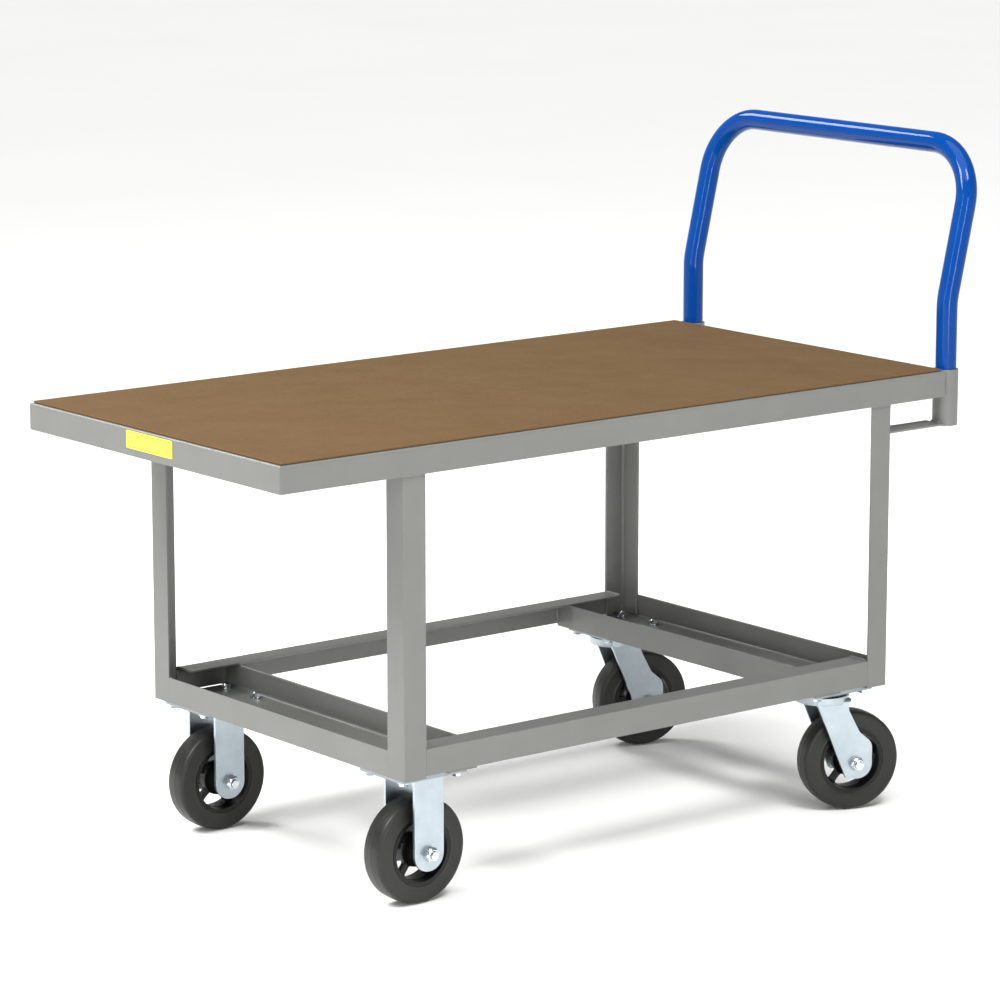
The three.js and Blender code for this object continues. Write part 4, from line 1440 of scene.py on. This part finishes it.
        return soften(cut_with(cut_with(straps, crown, "UNION"), bore), 0.7 * MM)

    def place_fork(self, shape: bpy.types.Object, end: End, side: Side) -> None:
        """Places one fork."""
        where = f"{end.word}_{side.word}"
        body = "cart" if end is End.FRONT else f"{where}_swivel"
        piece = copied(shape, f"{where}_fork", self.hub_place(end, side))
        settle(piece, body, ZINC_PLATE, [f"caster_fork_{where}"])

    def build_plate(self, end: End, side: Side) -> None:
        """Makes one top plate with its four slots, and the bolts that hold it to the frame.

        Args:
            end: the cart's end.
            side: the cart's side.
        """
        where = f"{end.word}_{side.word}"
        node = f"caster_plate_{where}"
        low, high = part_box(node)
        outline = oblong((low[Y], low[X]), (high[Y], high[X]), self.plate_corner)
        lay = Matrix(((0, 0, 1, 0), (0, 1, 0, 0), (1, 0, 0, low[Z]), (0, 0, 0, 1)))
        piece = moved(plate(f"{where}_top_plate", outline, high[Z] - low[Z], 6), lay)
        middle = (low + high) / 2
        across, along = self.bolt_spacing[0] / 2, self.bolt_spacing[1] / 2
        offsets = [(sx * across, sy * along) for sx in (-1, 1) for sy in (-1, 1)]
        spots = [Vector((middle[X] + dx, middle[Y] + dy, 0)) for dx, dy in offsets]
        reach, radius = self.slot_travel / 2 + self.slot_radius, self.slot_radius
        slot = oblong((-radius, -reach), (radius, reach), radius * OVAL)
        deep = 2 * self.strap
        for spot in spots:
            tool = moved(plate("slot", slot, deep, 8), Matrix.Translation(spot) @ lay)
            piece = cut_with(piece, moved(tool, Matrix.Translation((0, 0, -deep / 2))))
        edit(piece)
        outward()
        leave_edit()
        # the top plate wears the darkened zinc, whose darkness is partly painted shade for the gap under the
        # rail
        settle(soften(piece, 0.6 * MM), "cart", ZINC_STAMPED_PAINTED_SHADE, [node])
        self.build_bolts(where, spots, low[Z], high[Z] + self.frame_wall)

    def build_bolts(self, where: str, spots: Sequence[Vector], under: float, over: float) -> None:
        """Makes four bolts with their heads below, and washers and nuts above.

        Args:
            where: the caster's place.
            spots: the bolts' places.
            under: the height of the face that the heads bear on.
            over: the height of the face that the washers bear on.
        """
        fasteners = HexFasteners()
        head = fasteners.hexagon("head", self.bolt_corners, self.bolt_head)
        shank = fasteners.thread("shank", self.bolt_radius, 0, over - under + self.bolt_tip)
        nut = fasteners.hexagon("nut", self.bolt_corners, self.bolt_nut, both=True)
        ring = band(self.bolt_radius, self.washer_radius, 0, self.washer)
        washer = soften(turned("washer", ring, 40), 0.25 * MM)
        lower_washer = copied(washer, "lower_washer", Matrix.Identity(4))
        beneath = under - self.washer - self.seat
        shapes = (
            (soften(head, 0.25 * MM), "heads", UPRIGHT.inverted(), beneath),
            (shank, "studs", UPRIGHT, under - 2 * MM),
            (washer, "washers", UPRIGHT, over + self.seat),
            (soften(nut, 0.25 * MM), "nuts", UPRIGHT, over + self.washer + 2 * self.seat),
            (lower_washer, "lower_washers", UPRIGHT, beneath),
        )
        for shape, word, turn, height in shapes:
            copies = []
            for index, spot in enumerate(spots):
                twist = Matrix.Rotation(math.radians(23 + 47 * index), 4, "Z")
                move = Matrix.Translation((spot[X], spot[Y], height)) @ twist @ turn
                copies.append(copied(shape, f"{word}_{index}", move))
            group = smooth(joined(copies, f"{where}_plate_{word}"), 28)
            settle(group, "cart", ZINC_BOLT)
            bpy.data.objects.remove(shape, do_unlink=True)

    def build_swivel_head(self, side: Side) -> None:
        """Makes the race cup, the balls, the kingpin and its nut of one swivel caster."""
        where = f"rear_{side.word}"
        pin, _ = self.joint(f"{where}_swivel_turn")
        stand = Matrix.Translation((pin[X], pin[Y], 0)) @ UPRIGHT
        cup_low, cup_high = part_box(f"race_cup_{where}")
        radius = (cup_high[X] - cup_low[X]) / 2
        low, high = cup_low[Z], cup_high[Z]
        rim = radius - 3.2 * MM
        inner = self.race_inner
        profile = [(inner, low), (rim - 1 * MM, low), (rim, low + 1 * MM), (rim + 1 * MM, low + 3.4 * MM)]
        profile += [(radius, low + 4.2 * MM), (radius, high), (inner, high)]
        cup = soften(turned(f"{where}_race_cup", profile, 96), 0.4 * MM)
        settle(moved(cup, stand), "cart", ZINC_PLATE, [f"race_cup_{where}"])
        self.build_balls(where, stand)
        nut_low, nut_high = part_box(f"kingpin_nut_{where}")
        pin_low, pin_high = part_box(f"kingpin_{where}")
        size = (pin_high[X] - pin_low[X]) / 2
        profile = [(0, pin_low[Z]), (size - 1 * MM, pin_low[Z]), (size, pin_low[Z] + 1 * MM)]
        profile += [(size, pin_high[Z]), (0, pin_high[Z])]
        shaft = soften(turned(f"{where}_kingpin_shaft", profile, self.sides), 0.3 * MM)
        settle(moved(shaft, stand), "cart", ZINC_BOLT, [f"kingpin_{where}"])
        tall = nut_high[Z] - nut_low[Z]
        nut = HexFasteners().hexagon(f"{where}_kingpin_lock_nut", self.kingpin_corners, tall, both=True)
        bore = turned("bore", band(0, size + self.seat, -tall, 2 * tall), self.sides)
        nut = soften(cut_with(nut, bore), 0.3 * MM)
        moved(nut, Matrix.Translation((0, 0, nut_low[Z])) @ stand)
        settle(nut, "cart", ZINC_BOLT, [f"kingpin_nut_{where}"])

    def build_balls(self, where: str, stand: Matrix) -> None:
        """Makes the ring of balls between the crown and the race cup."""
        low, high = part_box(f"ball_ring_{where}")
        size = (high[Z] - low[Z]) / 2
        reach = (high[X] - low[X]) / 2 - size
        balls = []
        add = bpy.ops.mesh.primitive_uv_sphere_add
        for index in range(self.balls):
            turn = 2 * math.pi * index / self.balls
            at = ((low[Z] + high[Z]) / 2, reach * math.cos(turn), reach * math.sin(turn))
            balls.append(primitive(add, "ball", segments=16, ring_count=10, radius=size, location=at))
        inner = reach - size - 0.4 * MM
        cage = turned("cage", band(inner - self.cage_width, inner, low[Z], high[Z]))
        ring = moved(joined([soften(cage, 0.3 * MM), *balls], f"{where}_ball_race"), stand)
        smooth(ring, 40)
        settle(ring, "cart", BEARING, [f"ball_ring_{where}"])


# ---------------------------------------------------------------- welds


@dataclass
class Welds:
    """Short fillet welds, each a row of overlapping ripples laid into a corner."""

    radius: float = 2.4 * MM
    pitch: float = 1.9 * MM
    ripple: float = 2.6 * MM
    inset: float = 4 * MM
    short: float = 5 * MM
    socket_reach: float = 9.5 * MM
    ground_half: float = 1.1 * MM
    proud: float = 0.05 * MM

    def bead(self, name: str, start: Vector, stop: Vector) -> bpy.types.Object:
        """Lays one bead from start to stop.

        Args:
            name: the piece's name.
            start: one end of the seam.
            stop: its other end.

        Returns:
            The bead.
        """
        run = stop - start
        count = max(2, round(run.length / self.pitch))
        size = (self.ripple, self.radius, self.radius)
        shape = {"segments": 10, "ring_count": 6, "radius": 1, "scale": size}
        bead = primitive(bpy.ops.mesh.primitive_uv_sphere_add, name, **shape)
        spacing = {"use_relative_offset": False, "use_constant_offset": True}
        spacing["constant_offset_displace"] = ((run.length - 2 * self.ripple) / (count - 1), 0, 0)
        apply_modifier(bead, "ARRAY", count=count, **spacing)
        choose(bead)
        bpy.ops.object.shade_smooth()
        turn = run.to_track_quat("X", "Z").to_matrix().to_4x4()
        return moved(bead, Matrix.Translation(start + run.normalized() * self.ripple) @ turn)

    def seams(self) -> dict[str, list[tuple[Vector, Vector]]]:
        """Lists the seams of the frame, grouped by the joint that they close.

        Returns:
            Each group's name, with its seams' ends.
        """
        groups: dict[str, list[tuple[Vector, Vector]]] = {}
        under_rim = deck_rim()[0][Z]
        for end in End:
            for side in Side:
                where = f"{end.word}_{side.word}"
                leg_low, leg_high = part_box(f"leg_{where}")
                face_x, back_x = (leg_low[X], leg_high[X]) if side is Side.LEFT else (leg_high[X], leg_low[X])
                face_y, back_y = (leg_low[Y], leg_high[Y]) if end is End.FRONT else (leg_high[Y], leg_low[Y])
                inset_x = face_x - side.value * self.inset
                inset_y = face_y - end.value * self.inset
                rail = [corner[Z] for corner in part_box(f"side_rail_{side.word}")]
                end_rail = [corner[Z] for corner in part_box(f"end_rail_{end.word}")]
                ends = (
                    ((face_x, leg_low[Y], under_rim), (face_x, leg_high[Y], under_rim)),
                    ((inset_x, back_y, rail[0]), (inset_x, back_y, rail[1] - self.short)),
                    ((inset_x, back_y, rail[1]), (back_x, back_y, rail[1])),
                    ((back_x, inset_y, end_rail[0] + self.short), (back_x, inset_y, end_rail[1])),
                )
                groups[f"weld_leg_{where}"] = [(Vector(start), Vector(stop)) for start, stop in ends]
        for side in Side:
            groups[f"weld_socket_{side.word}"] = self.socket_seams(side)
            for end in End:
                groups[f"weld_cross_{end.word}_{side.word}"] = self.cross_seams(end, side)
        return groups

    def socket_seams(self, side: Side) -> list[tuple[Vector, Vector]]:
        """Lists the seams round one handle socket and its flat bar."""
        low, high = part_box(f"handle_socket_{side.word}")
        rim_low, rim_high = deck_rim()
        middle = (low[X] + high[X]) / 2
        seams = []
        for x in (middle - self.socket_reach, middle + self.socket_reach):
            foot = Vector((x, rim_high[Y] + 1.4 * MM, rim_low[Z]))
            seams.append((foot, Vector((foot[X], foot[Y], rim_high[Z] - 1 * MM))))
        bar_low, bar_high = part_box(f"socket_brace_{side.word}")
        for y in (bar_low[Y], bar_high[Y]):
            for z in (bar_low[Z], bar_high[Z]):
                half = 10 * MM if y == bar_high[Y] else 14 * MM
                seams.append((Vector((middle - half, y, z)), Vector((middle + half, y, z))))
        return seams

    def cross_seams(self, end: End, side: Side) -> list[tuple[Vector, Vector]]:
        """Lists the seams where a caster cross angle and a deck cross angle meet the side of the frame."""
        seams = []
        low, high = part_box(f"caster_cross_{end.word}")
        x = (low if side is Side.LEFT else high)[X]
        face = high[Y] if end is End.FRONT else low[Y]
        seams.append((Vector((x, face, low[Z] + 6 * MM)), Vector((x, face, high[Z] - 4 * MM))))
        low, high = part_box(f"deck_cross_{end.word}")
        inner = low[Y] if end is End.FRONT else high[Y]
        edge = inner_edge(end.word, side.word)
        seams.append((Vector((edge, inner, low[Z] + 3 * MM)), Vector((edge, inner, high[Z] - 3 * MM))))
        return seams

    def ground_seams(self) -> None:
        """Fills the seam between each leg and its end rail flush, as a ground weld leaves it."""
        for end in End:
            rail_low, rail_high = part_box(f"end_rail_{end.word}")
            face = rail_low[Y] if end is End.FRONT else rail_high[Y]
            for side in Side:
                seam = inner_edge(end.word, side.word) - side.value * 0.15 * MM
                y = sorted((face + end.value * self.proud, face - end.value * 1.5 * MM))
                low = Vector((seam - self.ground_half, y[0], rail_low[Z] + 0.3 * MM))
                high = Vector((seam + self.ground_half, y[1], rail_high[Z] - 0.3 * MM))
                strip = start_box(f"ground_weld_{end.word}_{side.word}", low, high)
                settle(soften(strip, 0.04 * MM, 1), "cart", GREY_ENAMEL)

    def build(self) -> None:
        """Lays every bead, one piece for each joint of the frame."""
        self.ground_seams()
        for name, seams in self.seams().items():
            beads = [self.bead(f"{name}_{index}", *seam) for index, seam in enumerate(seams)]
            settle(joined(beads, name), "cart", WELD_ENAMEL)


# ---------------------------------------------------------------- studio


@dataclass
class Studio:
    """A pale sweep, soft light and the camera."""

    azimuth: float = 51.63
    elevation: float = 11.33
    lens: float = 149.6
    distance: float = 5.8186
    target: tuple[float, float, float] = (0.2247, -0.2172, 0.5481)
    floor_size: float = 60.0
    floor_drop: float = 0.4 * MM
    aim: tuple[float, float, float] = (0, 0, 0.45)
    overhead: float = 2.25
    overhead_width: float = 65
    overhead_lean: tuple[float, float, float] = (-0.15, 0.3, -1)
    wall_light: float = 0.78
    ceiling_light: float = 0.24
    wall_top: float = 0.45

    def build(self) -> None:
        """Lays the sweep, hangs the lights and sets the camera."""
        at = (0, 0, -self.floor_drop)
        floor = primitive(bpy.ops.mesh.primitive_plane_add, "studio_floor", size=self.floor_size, location=at)
        floor.data.materials.append(PALE_PAPER.make())
        self.light("key_softbox", (-0.4, -2.2, 2.7), (1.0, 1.0), 90)
        self.light("side_softbox", (2.9, -0.4, 4.4), (1.2, 1.2), 124)
        self.light("left_softbox", (-3.2, -0.6, 3.4), (1.2, 1.2), 80)
        self.light("front_strip", (1.2, -4.0, 1.4), (0.2, 2.8), 32)
        self.light("right_strip", (4.1, -0.9, 1.1), (0.2, 2.2), 52)
        self.daylight()
        self.white_room()
        bpy.context.scene.view_settings.view_transform = "Standard"
        self.camera()

    def white_room(self) -> None:
        """Surrounds the cart with white walls that are brighter than the ceiling."""
        world = bpy.data.worlds.new("white_room")
        world.use_nodes = True
        tree = world.node_tree
        background = tree.nodes["Background"]
        background.inputs["Color"].default_value = linear("#FFFFFF")
        facing = add_node(tree, "TexCoord").outputs["Generated"]
        upward = add_node(tree, "SeparateXYZ", {"Vector": facing}).outputs["Z"]
        span = {"Value": upward, "From Max": self.wall_top}
        span |= {"To Min": self.wall_light, "To Max": self.ceiling_light}
        strength = add_node(tree, "MapRange", span, clamp=True).outputs["Result"]
        tree.links.new(strength, background.inputs["Strength"])
        bpy.context.scene.world = world

    def daylight(self) -> None:
        """Lights the whole sweep evenly from above, through a wide diffuser."""
        lamp = bpy.data.lights.new("overhead_diffuser", "SUN")
        lamp.energy = self.overhead
        lamp.angle = math.radians(self.overhead_width)
        self.hang(lamp, (0, 0, 0), Vector(self.overhead_lean))

    def light(
        self, name: str, at: tuple[float, float, float], size: tuple[float, float], power: float
    ) -> None:
        """Hangs one soft light that faces the cart.

        Args:
            name: the light's name.
            at: its place.
            size: its width and height.
            power: in watts.
        """
        lamp = bpy.data.lights.new(name, "AREA")
        lamp.shape = "RECTANGLE"
        lamp.size, lamp.size_y = size
        lamp.energy = power
        self.hang(lamp, at, Vector(self.aim) - Vector(at))

    def hang(self, data: bpy.types.ID, at: Sequence[float], facing: Vector) -> bpy.types.Object:
        """Puts a light or a camera in its place, looking in a direction."""
        holder = bpy.data.objects.new(data.name, data)
        bpy.context.scene.collection.objects.link(holder)
        holder.location = at
        holder.rotation_euler = facing.to_track_quat("-Z", "Y").to_euler()
        return holder

    def camera(self) -> None:
        """Sets the camera at its angle and distance from its target."""
        turn, tilt = math.radians(self.azimuth), math.radians(self.elevation)
        back = Vector((math.sin(turn) * math.cos(tilt), -math.cos(turn) * math.cos(tilt), math.sin(tilt)))
        lens = bpy.data.cameras.new("camera")
        lens.lens = self.lens
        lens.sensor_width = 36
        lens.clip_end = 100
        at = Vector(self.target) + back * self.distance
        bpy.context.scene.camera = self.hang(lens, at, -back)


def main() -> None:
    """Builds the cart's sub-assemblies in order, then the studio round them."""
    for assembly in (Studio(), AngleFrame(), DeckBoard(), PushHandle(), HandleSockets(), Casters(), Welds()):
        log.info("building %s", type(assembly).__name__)
        assembly.build()


if __name__ == "__main__":
    main()
